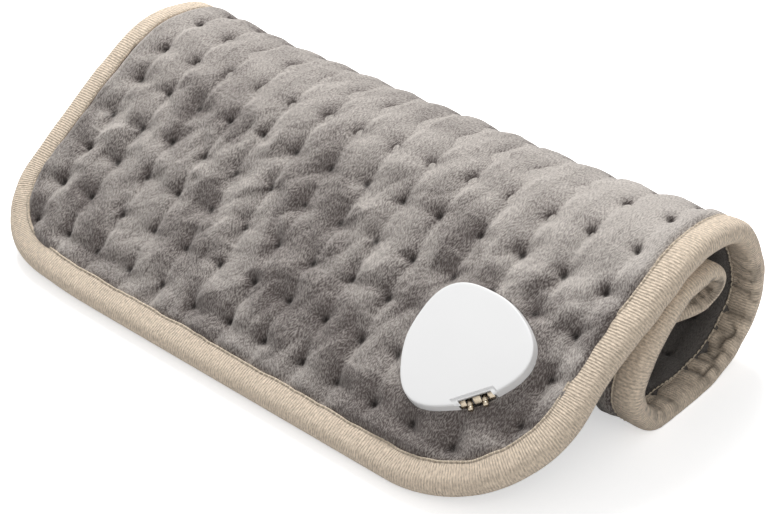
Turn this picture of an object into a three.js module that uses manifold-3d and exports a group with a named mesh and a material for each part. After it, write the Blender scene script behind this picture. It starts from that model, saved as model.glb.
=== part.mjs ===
// A quilted heating pad, loosely rolled up, with a plug-in socket on its outer cover.
// Millimetres, +Z up. The roll's axis is X, the loose flap comes down towards -Y.
//
// Every soft layer is drawn flat first. A point of the flat pad has three coordinates:
// across (along X, zero at the middle), along (from the flap's front edge to the rolled-in
// end) and out (towards the roll's outside from the middle layer). onRoll() then puts the
// point on the rolled pad, so all layers bend together and keep their gaps.

import * as THREE from 'three';
import Module from 'manifold-3d';

const wasm = await Module();
wasm.setup();
const degree = Math.PI / 180;

// Driving dimensions of the flat pad
const padWidth = 300;
const padLength = 400;
const cornerRadius = 58;
const frontLeftRadius = 44;
const clearance = 0.3;

// Thickness of the layers, each height measured from the middle layer
const crestHeight = 4.6;
const tuftHeight = 2.1;
const creaseDepth = 1;
const coverInside = 1.65;
const carrierTop = 0.05;
const carrierBottom = -0.2;
const waddingTop = -0.5;
const waddingBottom = -1.1;
const rimHeight = 2.6;

// Tufts, in a square grid of columns across and rows along, as many as the pad has room for
const columnPitch = 19.5;
const rowPitch = 18.7;
const leftMargin = 25.8;
const frontMargin = 21.4;
const farMargin = 14;
const tuftColumns = 1 + Math.floor((padWidth - leftMargin - farMargin) / columnPitch);
const tuftRows = 1 + Math.floor((padLength - frontMargin - farMargin) / rowPitch);

// Edge binding, a tape folded round the rim
const bindingWidth = 11.2;
const bindingHeight = 4.6;
const tapeThickness = 1;
const stitchDip = 0.6;
const tapeSteps = 4;
const restDepth = 0.5;
const rimInset = 5.5;
const rimFlat = 1.8;
const rimRise = 5;
const rimCrest = 19;

// The roll in section: legs of constant curvature from the flap's front edge inwards.
// Each leg is its share of the pad's length and the degrees that it turns upwards.
const legShares = [
  [0.06, 16], [0.015, -5], [0.125, 0], [0.075, -12], [0.07, -29], [0.025, -6],
  [0.03, -41], [0.055, -20], [0.035, -41], [0.04, -35], [0.045, -23], [0.06, -8],
  [0.03, -42], [0.03, -19], [0.04, -59], [0.035, -18], [0.03, -9], [0.03, -34],
  [0.02, 2], [0.065, -168], [0.085, 16],
];
const frontTilt = 22;
const frontHeight = 4.55;
const largestBend = 40;

// The crease on top of the roll where the flap lifts: a row of tufts
const creaseRow = 6;
const creaseAlong = frontMargin + creaseRow * rowPitch;

// Heating wire and its leads
const wireRadius = 0.35;
const wireHeight = 0.6;
const wireSides = 5;
const wireMargin = 32;
const wireReach = padWidth / 2 - wireMargin;
const socketRoom = 39.7;
const shortRuns = 3;
const turnSteps = 4;
const crimpRadius = 0.45;
const crimpLength = 7;
const leadRadius = 0.4;
const leadGap = 1.8;

// Socket: a rounded triangle whose mouth side faces the pad's front right corner
const socketFromSide = 55.3;
const socketAcross = padWidth / 2 - socketFromSide;
const socketAlong = 54.8;
const socketTurn = -45.5;
const socketRadius = 25.2;
const cornerSwell = 1.9;
const sideSwell = 0.37;
const mouthEdge = socketRadius - cornerSwell + sideSwell;
const outlineSteps = 36;
const socketBottom = 2.6;
const baseFloor = 4;
const baseTop = 5;
const socketTop = 9.4;
const socketWall = 1.5;
const topFillet = 1.8;
const bottomFillet = 0.5;
const wallDraft = 0.5;
const topCrown = 0.25;
const pocketDepth = 2.3;

// Mouth, contact block, pins and tabs inside the socket, all placed from the mouth's edge
const mouthHalfWidth = 7.8;
const mouthBottom = 4.1;
const mouthTop = 7.7;
const mouthDepth = 7.9;
const mouthBack = mouthEdge - mouthDepth;
const lipDepth = 4.1;
const lipOverhang = 0.5;
const lipReach = mouthEdge + lipOverhang;
const lipHalfWidth = 9.9;
const lipTaper = 0.8;
const lipTop = 8.7;
const notchDepth = 2.1;
const notchBack = mouthEdge - notchDepth;
const notchHalfWidth = 5.3;
const blockDepth = 9.5;
const blockFront = mouthBack - clearance;
const blockBack = blockFront - blockDepth;
const blockHalfWidth = 9.5;
const pinRadius = 1.2;
const pinSpacing = 5.4;
const pinHeight = 5.9;
const pinLength = 16.9;
const pinOverhang = 0.7;
const pinTip = mouthEdge + pinOverhang;
const pinBack = pinTip - pinLength;
const collarRadius = 1.45;
const collarLength = 1.6;
const collarFromTip = 3.8;
const collarBack = pinTip - collarFromTip;
const grooveRadius = 0.9;
const tabThickness = 0.5;
const tabWidth = 2.4;
const tabSpacing = 6.5;
const tabOverhang = 1;
const tabTip = notchBack + tabOverhang;
const tabDrop = 1.2;

// Terminal board, fuse, clamp plate and screws
const boardBack = -15.5;
const boardFront = 0;
const boardHalfWidth = 8;
const boardThickness = 0.6;
const fuseRadius = 1.15;
const fuseLength = 9;
const fuseOffset = 7;
const windowRadius = 10.5;
const clampShrink = 9;
const clampBottom = 0.45;
const clampTop = 1.1;
const bossRadius = 8;
const clampSlotWidth = 5;
const leadOffset = 9;
const leadInset = 4.7;
const leadReach = socketRadius - leadInset;
const leadBend = 0.65;
const clampScrewOffset = 2.4;
const clampScrewSpacing = 10;
const capScrewInset = 5.7;
const capScrewRadius = socketRadius - capScrewInset;
const screwRadius = 0.7;
const screwHeadRadius = 1.8;
const screwHeadHeight = 0.7;
const screwBossRadius = 2.4;
const capScrewTop = 7;
const lidThickness = 1.4;

// Facets
const roundSides = 16;
const cornerSteps = 3;
const cutterOverrun = 4;
const weldDistance = 0.0002;
const facetTolerance = 0.03;

// The pad's colours
const plushGrey = 0x9a918c;
const plushShade = 0x6f6764;
const bindingBeige = 0xc8b9a0;
const whitePlastic = 0xf2f2f0;
const contactMetal = 0xb9a684;

function finish(color, roughness, metalness = 0) {
  return new THREE.MeshStandardMaterial({ color, roughness, metalness });
}

const finishes = {
  plush: finish(plushGrey, 0.95),
  innerPlush: finish(plushShade, 0.95),
  binding: finish(bindingBeige, 0.9),
  wadding: finish(0xe8e6e0, 1),
  carrier: finish(0xd9d6cc, 0.9),
  wire: finish(0xb03a2e, 0.6),
  plastic: finish(whitePlastic, 0.3),
  insulator: finish(0x2c2c2e, 0.6),
  metal: finish(contactMetal, 0.3, 1),
  steel: finish(0xa8a8aa, 0.35, 1),
  board: finish(0x2f6b45, 0.5),
  lead: finish(0xc9c9c9, 0.6),
};

// The roll's middle line

const legs = [];
{
  let along = 0;
  let y = 0;
  let z = frontHeight;
  let tilt = frontTilt * degree;
  for (const [lengthShare, turn] of legShares) {
    const leg = { along, y, z, tilt, length: lengthShare * padLength, turn: turn * degree };
    legs.push(leg);
    const end = legPoint(leg, leg.length);
    along += leg.length;
    y = end.y;
    z = end.z;
    tilt += leg.turn;
  }
}

// The place and tilt at a distance into a leg, by the chord of its arc.
function legPoint(leg, distance) {
  const turned = leg.turn * distance / leg.length;
  const half = turned / 2;
  const chord = half === 0 ? distance : distance * Math.sin(half) / half;
  return {
    y: leg.y + chord * Math.cos(leg.tilt + half),
    z: leg.z + chord * Math.sin(leg.tilt + half),
    tilt: leg.tilt + turned,
  };
}

function lineAt(along) {
  const leg = legs.findLast((one) => one.along <= along) ?? legs[0];
  return legPoint(leg, along - leg.along);
}

function onRoll(across, along, out) {
  const { y, z, tilt } = lineAt(along);
  return new THREE.Vector3(across, y - Math.sin(tilt) * out, z + Math.cos(tilt) * out);
}

// Outline of the flat pad

// The radius of the corner that is nearest to a point of the flat pad.
function cornerAt(across, along) {
  return across < 0 && along < padLength / 2 ? frontLeftRadius : cornerRadius;
}

// Half the pad's width on one side at a place along it, for the outline drawn in by an inset.
function halfWidthAt(side, along, inset) {
  const corner = cornerAt(side, along);
  const fromEnd = Math.min(along, padLength - along);
  const intoCorner = Math.max(corner - fromEnd, 0);
  const radius = corner - inset;
  const straight = padWidth / 2 - corner;
  return straight + Math.sqrt(Math.max(radius * radius - intoCorner * intoCorner, 0));
}

// How far a point of the flat pad lies inside its edge.
function insideEdge(across, along) {
  const corner = cornerAt(across, along);
  const cornerX = Math.max(Math.abs(across) - (padWidth / 2 - corner), 0);
  const fromMiddle = Math.abs(along - padLength / 2);
  const cornerY = Math.max(fromMiddle - (padLength / 2 - corner), 0);
  return corner - Math.hypot(cornerX, cornerY);
}

// Rows along the pad: rim rows, tuft rows and the rows half way between them, with more
// where the roll bends sharply. The binding uses the same rows, so it nests on the covers.
const hemLine = bindingWidth + rimFlat;
const rowPlaces = [rimInset, hemLine];
for (let half = 0; half <= 2 * tuftRows - 2; half += 1) {
  rowPlaces.push(frontMargin + half * rowPitch / 2);
}
rowPlaces.push(padLength - hemLine, padLength - rimInset);

function bendBetween(from, to) {
  return Math.abs(lineAt(to).tilt - lineAt(from).tilt) / degree;
}

function withBends(places) {
  const filled = [places[0]];
  for (let i = 1; i < places.length; i += 1) {
    const from = places[i - 1];
    const to = places[i];
    const parts = Math.max(1, Math.ceil(bendBetween(from, to) / largestBend));
    for (let part = 1; part <= parts; part += 1) {
      filled.push(from + (to - from) * part / parts);
    }
  }
  return filled;
}

const allRows = withBends(rowPlaces);

const halves = {
  flap: { from: 0, to: creaseAlong - clearance / 2 },
  roll: { from: creaseAlong + clearance / 2, to: padLength },
};

// The rows of one half of the pad, with its own cut edge at the crease.
function rowsOf(half) {
  const rows = allRows.filter((row) => row > half.from + clearance && row < half.to - clearance);
  if (half.from > 0) rows.unshift(half.from);
  if (half.to < padLength) rows.push(half.to);
  return rows;
}

// The flat that the roll rests on, cut into the lowest part of its binding and plush.
const lowest = rowsOf(halves.roll).map((row) => {
  const { z, tilt } = lineAt(row);
  return z - Math.abs(Math.cos(tilt)) * bindingHeight;
});
const tableHeight = Math.min(...lowest) + restDepth;

// Columns across the pad: rim, hem and first crest, then tufts and the places half way
// between them.
const edgeInsets = [rimInset, hemLine, rimCrest];
const sheetColumns = edgeInsets.map((inset) => inset - padWidth / 2);
for (let half = 0; half <= 2 * tuftColumns - 2; half += 1) {
  sheetColumns.push(-padWidth / 2 + leftMargin + half * columnPitch / 2);
}
sheetColumns.push(...edgeInsets.map((inset) => padWidth / 2 - inset)
  .filter((place) => place > sheetColumns.at(-1) + clearance).reverse());

// Where a column runs at a given row: straight, but drawn in along the rounded corners.
function columnAt(place, along) {
  const outerPlace = padWidth / 2 - rimInset;
  const hemPlace = padWidth / 2 - hemLine;
  const rim = halfWidthAt(place, along, rimInset);
  const hem = Math.min(halfWidthAt(place, along, hemLine), rim - rimRise);
  const free = hem - rimRise;
  const size = Math.abs(place);
  if (size >= outerPlace) return Math.sign(place) * rim;
  if (size <= free) return place;
  return Math.sign(place) * (free + (size - free) * (hem - free) / (hemPlace - free));
}

// Skins

// A closed skin over rings of points. Each ring has the same count, and both end rings are
// filled across, from side to side, which also suits a C-shaped ring.
function skin(rings) {
  const count = rings[0].length;
  const triangles = [];
  for (let r = 0; r + 1 < rings.length; r += 1) {
    for (let i = 0; i < count; i += 1) {
      const next = (i + 1) % count;
      const a = r * count + i;
      const b = r * count + next;
      triangles.push([a, b, b + count], [a, b + count, a + count]);
    }
  }
  const last = (rings.length - 1) * count;
  for (const [low, high] of acrossRing(count)) {
    triangles.push([low[1], low[0], high], [last + low[0], last + low[1], last + high]);
  }
  return closedGeometry(rings.flat(), triangles);
}

// The triangles that fill a ring of points from side to side.
function acrossRing(count) {
  const filled = [];
  let low = 0;
  let high = count - 1;
  while (high - low > 1) {
    filled.push([[low, low + 1], high]);
    low += 1;
    if (high - low > 1) {
      filled.push([[low, high - 1], high]);
      high -= 1;
    }
  }
  return filled;
}

// A geometry from points and triangles, turned so that its faces point out.
function closedGeometry(points, triangles) {
  let volume = 0;
  const normal = new THREE.Vector3();
  for (const [a, b, c] of triangles) {
    volume += points[a].dot(normal.crossVectors(points[b], points[c]));
  }
  const facing = volume > 0 ? triangles : triangles.map(([a, b, c]) => [a, c, b]);
  const geometry = new THREE.BufferGeometry();
  geometry.setFromPoints(points);
  geometry.setIndex(facing.flat());
  geometry.computeVertexNormals();
  return geometry;
}

// A sheet of the pad between two heights. Its outer face follows every column, and its inner
// face, which is plain, goes straight from side to side.
function sheet(rows, columns, outer, inner) {
  const points = [];
  const triangles = [];
  const last = rows.length - 1;
  const right = columns.length - 1;
  const place = (i, j, height) => {
    const across = columnAt(columns[j], rows[i]);
    points.push(onRoll(across, rows[i], height(across, rows[i])));
    return points.length - 1;
  };
  const top = rows.map((_, i) => columns.map((__, j) => place(i, j, outer)));
  const below = rows.map((_, i) => columns.map((__, j) => {
    const onRim = i === 0 || i === last || j === 0 || j === right;
    return onRim ? place(i, j, inner) : -1;
  }));
  const quad = (a, b, c, d) => triangles.push([a, b, c], [a, c, d]);
  for (let i = 0; i < last; i += 1) {
    for (let j = 0; j < right; j += 1) {
      quad(top[i][j], top[i][j + 1], top[i + 1][j + 1], top[i + 1][j]);
    }
    quad(below[i][0], top[i][0], top[i + 1][0], below[i + 1][0]);
    quad(top[i][right], below[i][right], below[i + 1][right], top[i + 1][right]);
    if (i > 0 && i < last - 1) {
      quad(below[i][right], below[i][0], below[i + 1][0], below[i + 1][right]);
    }
  }
  for (let j = 0; j < right; j += 1) {
    quad(below[0][j], below[0][j + 1], top[0][j + 1], top[0][j]);
    quad(top[last][j], top[last][j + 1], below[last][j + 1], below[last][j]);
    triangles.push([below[0][j + 1], below[0][j], below[1][right]]);
    triangles.push([below[last][j], below[last][j + 1], below[last - 1][0]]);
  }
  triangles.push([below[0][0], below[1][0], below[1][right]]);
  triangles.push([below[last][right], below[last - 1][right], below[last - 1][0]]);
  return closedGeometry(points, triangles);
}

// A round tube through points in space, its ring carried from point to point without twist.
function tube(points, radius, sides) {
  const rings = [];
  let side = new THREE.Vector3(0, 0, 1);
  points.forEach((point, i) => {
    const before = points[Math.max(i - 1, 0)];
    const after = points[Math.min(i + 1, points.length - 1)];
    const ahead = after.clone().sub(before).normalize();
    side = side.clone().addScaledVector(ahead, -side.dot(ahead));
    if (side.lengthSq() === 0) side.set(1, 0, 0);
    side.normalize();
    const up = new THREE.Vector3().crossVectors(ahead, side);
    const ring = [];
    for (let k = 0; k < sides; k += 1) {
      const angle = 2 * Math.PI * k / sides;
      ring.push(point.clone()
        .addScaledVector(side, radius * Math.cos(angle))
        .addScaledVector(up, radius * Math.sin(angle)));
    }
    rings.push(ring);
  });
  return skin(rings);
}

// Joining and cutting

// The same geometry with points at one place joined, and its faces turned to point out.
function welded(geometry) {
  const seen = new Map();
  const points = [];
  const order = [];
  const { position } = geometry.attributes;
  const corners = geometry.index ? Array.from(geometry.index.array) : [...Array(position.count).keys()];
  for (const corner of corners) {
    const point = new THREE.Vector3().fromBufferAttribute(position, corner);
    const key = point.toArray().map((value) => Math.round(value / weldDistance)).join();
    if (!seen.has(key)) {
      seen.set(key, points.length);
      points.push(point);
    }
    order.push(seen.get(key));
  }
  const triangles = [];
  for (let i = 0; i < order.length; i += 3) {
    const [a, b, c] = order.slice(i, i + 3);
    if (a !== b && b !== c && c !== a) triangles.push([a, b, c]);
  }
  return closedGeometry(points, triangles);
}

function solidOf(geometry) {
  const { attributes, index } = welded(geometry);
  const vertProperties = Float32Array.from(attributes.position.array);
  const triVerts = Uint32Array.from(index.array);
  return new wasm.Manifold(new wasm.Mesh({ numProp: 3, vertProperties, triVerts }));
}

function geometryOf(solid) {
  const mesh = solid.getMesh();
  const geometry = new THREE.BufferGeometry();
  const position = new THREE.BufferAttribute(Float32Array.from(mesh.vertProperties), 3);
  geometry.setAttribute('position', position);
  geometry.setIndex(Array.from(mesh.triVerts));
  geometry.computeVertexNormals();
  return geometry;
}

function cut(geometry, ...cutters) {
  return geometryOf(cutters.reduce((solid, one) => solid.subtract(solidOf(one)), solidOf(geometry)));
}

function join(geometry, ...others) {
  return geometryOf(others.reduce((solid, one) => solid.add(solidOf(one)), solidOf(geometry)));
}

// The same piece with a flat cut into it where it rests on the table. Facets that lie in
// one face to within a small tolerance are joined.
function restedFlat(geometry) {
  const below = new THREE.BoxGeometry(2 * padWidth, padLength, cutterOverrun);
  below.translate(0, 0, tableHeight - cutterOverrun / 2);
  return geometryOf(solidOf(geometry).subtract(solidOf(below)).simplify(facetTolerance));
}

// The pad's layers

// The outer height of the quilted plush: pillows between pinched tufts, with a soft crease
// along each column of tufts, drawn down to the hem at the binding.
function quiltHeight(across, along) {
  const fromColumn = (across + padWidth / 2 - leftMargin) / columnPitch;
  const fromRow = (along - frontMargin) / rowPitch;
  const columnPull = (1 + Math.cos(2 * Math.PI * fromColumn)) / 2;
  const rowPull = (1 + Math.cos(2 * Math.PI * fromRow)) / 2;
  const pinch = (crestHeight - tuftHeight - creaseDepth) * columnPull * rowPull;
  const quilted = crestHeight - creaseDepth * columnPull - pinch;
  const rise = THREE.MathUtils.smoothstep(insideEdge(across, along), hemLine, hemLine + rimRise);
  return rimHeight + (quilted - rimHeight) * rise;
}

// On the front cover the quilt is flat under the socket, where it is clamped.
function frontHeightAt(across, along) {
  const fromSocket = Math.hypot(across - socketAcross, along - socketAlong);
  const height = quiltHeight(across, along);
  return fromSocket < socketRadius + cornerSwell ? Math.max(height, socketBottom) : height;
}

function frontCover(half) {
  return sheet(rowsOf(half), sheetColumns, frontHeightAt, () => coverInside);
}

function backCover(half) {
  return sheet(rowsOf(half), sheetColumns, (a, s) => -quiltHeight(a, s), () => -coverInside);
}

function plainLayer(half, high, low) {
  const sides = [sheetColumns[0], sheetColumns[sheetColumns.length - 1]];
  return sheet(rowsOf(half), sides, () => high, () => low);
}

// The folded tape in section: inset from the pad's edge and height, outer side then inner.
function tapeSection() {
  const pressed = bindingHeight - stitchDip;
  const outer = [[bindingWidth, pressed]];
  for (let i = 0; i <= tapeSteps; i += 1) {
    const angle = Math.PI / 2 - Math.PI * i / tapeSteps;
    outer.push([bindingHeight * (1 - Math.cos(angle)), bindingHeight * Math.sin(angle)]);
  }
  outer.push([bindingWidth, -pressed]);
  const inner = outer.map(([inset, height], i) => {
    const end = i === 0 || i === outer.length - 1;
    if (end) return [inset, height - Math.sign(height) * tapeThickness];
    const scale = (bindingHeight - tapeThickness) / bindingHeight;
    return [bindingHeight - (bindingHeight - inset) * scale, height * scale];
  });
  return [...outer, ...inner.reverse()];
}

// One half of the binding: down one side from the crease, round the end and up the other.
function edgeBinding(half) {
  const section = tapeSection();
  const path = [...bindingSide(half, 1), ...bindingSide(half, -1).reverse()];
  return skin(path.map(({ across, along, x, y }) => (
    section.map(([inset, height]) => onRoll(across + x * inset, along + y * inset, height))
  )));
}

// The binding's path on one side: it follows the covers' rows from the crease to the corner,
// then turns evenly along the short rest of the corner. Each place has the way inwards.
function bindingSide(half, side) {
  const atFront = half.from === 0;
  const endAlong = atFront ? 0 : padLength;
  const inwards = atFront ? 1 : -1;
  const corner = cornerAt(side, endAlong);
  const centreAlong = endAlong + inwards * corner;
  const place = (turn, along) => ({
    across: side * (padWidth / 2 - corner + corner * Math.cos(turn)),
    along,
    x: -side * Math.cos(turn),
    y: inwards * Math.sin(turn),
  });
  const rows = rowsOf(half).filter((row) => (row - endAlong) * inwards > rimInset + clearance);
  if (atFront) rows.reverse();
  const turns = rows.map((row) => (
    Math.asin(THREE.MathUtils.clamp((centreAlong - row) * inwards / corner, 0, 1))
  ));
  const path = rows.map((row, i) => place(turns[i], row));
  const lastTurn = turns.at(-1);
  for (let i = 1; i <= cornerSteps; i += 1) {
    const turn = lastTurn + (Math.PI / 2 - lastTurn) * i / cornerSteps;
    path.push(place(turn, centreAlong - inwards * corner * Math.sin(turn)));
  }
  return path;
}

// Heating wire: one long run after another across the pad, between the rows of tufts.
function wirePath() {
  const flat = [];
  const start = socketPoint(0, -leadReach - clearance);
  const firstRun = frontMargin + rowPitch / 2;
  const easeIn = rowPitch / 2;
  flat.push(start, [start[0] - easeIn / 2, (start[1] + firstRun) / 2]);
  for (let run = 0; run < tuftRows - 1; run += 1) {
    const along = firstRun + run * rowPitch;
    const right = run < shortRuns ? socketAcross - socketRoom : wireReach;
    const leftward = run % 2 === 0;
    flat.push([leftward ? right : -wireReach, along], [leftward ? -wireReach : right, along]);
    if (run < tuftRows - 2) {
      const pivot = leftward ? -wireReach : right;
      const bulge = leftward ? -1 : 1;
      for (let i = 1; i < 2 * turnSteps; i += 1) {
        const angle = Math.PI * i / (2 * turnSteps);
        const reach = bulge * Math.sin(angle) * rowPitch / 2;
        flat.push([pivot + reach, along + (1 - Math.cos(angle)) * rowPitch / 2]);
      }
    }
  }
  return flat;
}

function heatingWire(half) {
  const path = wirePath().filter(([, along]) => along < half.to && along > half.from);
  const points = path.map(([across, along]) => onRoll(across, along, wireHeight));
  return tube(points, wireRadius, wireSides);
}

// A short crimp closes the wire's far end, in line with its last run.
function endCrimp() {
  const [across, along] = wirePath().at(-1);
  const heading = (tuftRows - 2) % 2 === 0 ? -1 : 1;
  const near = across + heading * clearance;
  const far = near + heading * crimpLength;
  const ends = [near, far].map((x) => onRoll(x, along, wireHeight));
  return tube(ends, crimpRadius, wireSides + 1);
}

// The socket, drawn in its own frame: X towards its mouth, Z out of the pad

// A place of the flat pad, from the socket's own frame.
function socketPoint(forward, sideways) {
  const turn = socketTurn * degree;
  return [
    socketAcross + forward * Math.cos(turn) - sideways * Math.sin(turn),
    socketAlong + forward * Math.sin(turn) + sideways * Math.cos(turn),
  ];
}

// The rounded triangle at a height, grown or drawn in by an offset. Its corners swell out
// of a circle, and so do its sides, by less.
function outline(offset, height) {
  const ring = [];
  for (let i = 0; i < outlineSteps; i += 1) {
    const angle = 2 * Math.PI * i / outlineSteps;
    const swell = sideSwell * Math.cos(6 * angle) - cornerSwell * Math.cos(3 * angle);
    const radius = socketRadius + offset + swell;
    const x = radius * Math.cos(angle);
    const y = radius * Math.sin(angle);
    ring.push(new THREE.Vector3(x, y, height));
  }
  return ring;
}

function block(back, front, halfWidth, low, high) {
  const geometry = new THREE.BoxGeometry(front - back, 2 * halfWidth, high - low);
  geometry.translate((back + front) / 2, 0, (low + high) / 2);
  return geometry;
}

function drum(x, y, radius, low, high) {
  const geometry = new THREE.CylinderGeometry(radius, radius, high - low, roundSides);
  geometry.rotateX(Math.PI / 2);
  geometry.translate(x, y, (low + high) / 2);
  return geometry;
}

const capScrewPlaces = [1, 3, 5].map((third) => {
  const angle = third * Math.PI / 3;
  return [capScrewRadius * Math.cos(angle), capScrewRadius * Math.sin(angle)];
});
const clampScrewPlaces = [-1, 1].map((side) => [clampScrewOffset, side * clampScrewSpacing / 2]);
const screwHole = screwRadius + clearance;
const headHole = screwHeadRadius + clearance;
const roofHeight = socketTop - lidThickness;

const pastLip = lipReach + cutterOverrun;

function mouthCutter() {
  return block(mouthBack, pastLip, mouthHalfWidth, mouthBottom, mouthTop);
}

// The cap: a shell with screw bosses, and a lowered lip over the mouth with a notch through
// which the contacts are seen from above.
function socketCap() {
  const foot = baseTop + clearance;
  const shell = skin([
    outline(-socketWall - topFillet - wallDraft, roofHeight),
    outline(-socketWall - wallDraft, roofHeight - topFillet / 2),
    outline(-socketWall, foot),
    outline(0, foot),
    outline(-wallDraft, socketTop - topFillet),
    outline(-wallDraft - topFillet * (1 - Math.SQRT1_2), socketTop - topFillet * (1 - Math.SQRT1_2)),
    outline(-wallDraft - topFillet, socketTop),
    outline(-socketRadius / 2, socketTop + topCrown),
  ]);
  const lipRoot = mouthBack + socketWall;
  const lipHalf = (reach, taper) => [
    [lipRoot, -lipHalfWidth], [reach, -lipHalfWidth + taper],
    [reach, lipHalfWidth - taper], [lipRoot, lipHalfWidth],
  ];
  const lip = skin([foot, lipTop - topFillet / 2, lipTop].map((height, i) => (
    lipHalf(i === 2 ? lipReach - topFillet / 2 : lipReach, lipTaper)
      .map(([x, y]) => new THREE.Vector3(x, y, height))
  )));
  const bosses = capScrewPlaces.map(([x, y]) => (
    drum(x, y, screwBossRadius, baseFloor + clearance, roofHeight + lidThickness / 2)
  ));
  const holes = capScrewPlaces.map(([x, y]) => (
    drum(x, y, screwHole, baseFloor, capScrewTop + clearance)
  ));
  const inside = skin([
    outline(-socketWall - wallDraft, foot - cutterOverrun),
    outline(-socketWall - wallDraft, roofHeight - topFillet),
  ]);
  const lipBack = mouthEdge - lipDepth;
  const lowered = block(lipBack, pastLip, lipHalfWidth - lipTaper, lipTop, socketTop + cutterOverrun);
  const notch = block(notchBack, pastLip, notchHalfWidth, mouthBottom, socketTop);
  const solid = join(shell, cut(lip, inside), ...bosses);
  return cut(solid, lowered, notch, mouthCutter(), ...holes);
}

function socketBase() {
  const tray = skin([
    outline(-socketRadius / 2, baseFloor),
    outline(-socketWall, baseFloor),
    outline(-socketWall, baseTop),
    outline(0, baseTop),
    outline(0, socketBottom + bottomFillet),
    outline(-bottomFillet, socketBottom),
    outline(-socketRadius / 2, socketBottom),
  ]);
  const heads = capScrewPlaces.map(([x, y]) => (
    drum(x, y, headHole, socketBottom - cutterOverrun, socketBottom + screwHeadHeight + clearance)
  ));
  const shanks = [...capScrewPlaces, ...clampScrewPlaces].map(([x, y]) => (
    drum(x, y, screwHole, socketBottom - cutterOverrun, baseFloor + cutterOverrun)
  ));
  return cut(tray, mouthCutter(), leadSlot(leadOffset), ...heads, ...shanks);
}

// The slot through which the leads go down, or run out under the cover.
function leadSlot(reach) {
  const halfDepth = leadRadius + 2 * clearance;
  const depth = reach - leadOffset + 2 * halfDepth;
  const geometry = new THREE.BoxGeometry(clampSlotWidth, depth, baseTop + cutterOverrun);
  geometry.translate(0, -leadOffset + halfDepth - depth / 2, (baseTop - cutterOverrun) / 2);
  return geometry;
}

// The clamp plate lies under the cover, and its boss comes up through the cover's window.
function clampPlate() {
  const ring = (radius, height) => outline(0, height).map((point) => (
    new THREE.Vector3(point.x, point.y, 0).setLength(radius).setZ(height)
  ));
  const plate = skin([
    outline(-clampShrink, clampBottom),
    outline(-clampShrink, clampTop),
    ring(bossRadius, clampTop),
    ring(bossRadius, socketBottom - clearance),
  ]);
  const holes = clampScrewPlaces.map(([x, y]) => (
    drum(x, y, screwHole, clampTop, socketBottom + cutterOverrun)
  ));
  return cut(plate, leadSlot(leadReach), ...holes);
}

function contactBlock() {
  const body = block(blockBack, blockFront, blockHalfWidth, baseFloor + clearance, roofHeight - clearance);
  const bores = [-1, 1].map((side) => {
    const bore = new THREE.CylinderGeometry(
      pinRadius + clearance, pinRadius + clearance, blockFront + cutterOverrun, roundSides,
    );
    bore.rotateZ(Math.PI / 2);
    bore.translate((blockFront + cutterOverrun) / 2 + pinBack - clearance, side * pinSpacing / 2, pinHeight);
    return bore;
  });
  return cut(body, ...bores);
}

// A pin turned on its own axis, with a collar and a groove behind its rounded tip.
function contactPin() {
  const bevel = pinRadius / 3;
  const profile = [
    [0, pinBack], [pinRadius, pinBack],
    [pinRadius, collarBack], [collarRadius, collarBack],
    [collarRadius, collarBack + collarLength], [grooveRadius, collarBack + collarLength],
    [grooveRadius, collarBack + collarLength + bevel], [pinRadius, collarBack + collarLength + bevel],
    [pinRadius, pinTip - bevel], [pinRadius - bevel, pinTip], [0, pinTip],
  ].map(([radius, reach]) => new THREE.Vector2(radius, reach));
  const geometry = new THREE.LatheGeometry(profile, roundSides);
  geometry.rotateZ(-Math.PI / 2);
  return welded(geometry);
}

// A flat contact tab that leaves the block and turns down at its tip.
function contactTab() {
  const root = blockFront + clearance;
  const top = pinHeight + tabThickness / 2;
  const bottom = top - tabThickness;
  const profile = new THREE.Shape([
    [root, bottom], [tabTip - tabThickness, bottom], [tabTip - tabThickness, bottom - tabDrop],
    [tabTip, bottom - tabDrop], [tabTip, top - tabThickness / 2],
    [tabTip - tabThickness / 2, top], [root, top],
  ].map(([x, z]) => new THREE.Vector2(x, z)));
  const geometry = new THREE.ExtrudeGeometry(profile, { depth: tabWidth, bevelEnabled: false });
  geometry.rotateX(Math.PI / 2);
  geometry.translate(0, tabWidth / 2, 0);
  return welded(geometry);
}

function screw(headLow, tip) {
  const upward = Math.sign(tip - headLow);
  const headEnd = headLow + upward * screwHeadHeight;
  const profile = [
    [0, headLow], [screwHeadRadius, headLow], [screwHeadRadius, headEnd],
    [screwRadius, headEnd], [screwRadius, tip - upward * screwRadius], [0, tip],
  ].map(([radius, height]) => new THREE.Vector2(radius, height));
  const geometry = new THREE.LatheGeometry(profile, roundSides / 2);
  geometry.rotateX(Math.PI / 2);
  return welded(geometry);
}

function thermalFuse() {
  const height = baseFloor + clearance + boardThickness + clearance + fuseRadius;
  const geometry = new THREE.CylinderGeometry(fuseRadius, fuseRadius, fuseLength, roundSides);
  geometry.translate(-fuseOffset, 0, height);
  return geometry;
}

// A lead from beside the board, down through the slot and out under the cover.
function lead(side) {
  const x = side * leadGap / 2;
  const middle = leadBend * (1 - Math.SQRT1_2);
  return tube([
    new THREE.Vector3(x, -leadOffset, baseTop + clearance),
    new THREE.Vector3(x, -leadOffset, wireHeight + leadBend),
    new THREE.Vector3(x, -leadOffset - middle, wireHeight + middle),
    new THREE.Vector3(x, -leadOffset - leadBend, wireHeight),
    new THREE.Vector3(x, -leadReach, wireHeight),
  ], leadRadius, wireSides + 1);
}

// The cover is cut for the socket's seat and for the window under it.
function seatedFrontCover() {
  const seat = skin([
    outline(clearance, pocketDepth),
    outline(clearance, socketTop + cutterOverrun),
  ]);
  const window = drum(0, 0, windowRadius, 0, socketTop);
  const inPlace = (geometry) => geometry.applyMatrix4(socketFrame());
  return cut(frontCover(halves.flap), inPlace(seat), inPlace(window));
}

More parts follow.
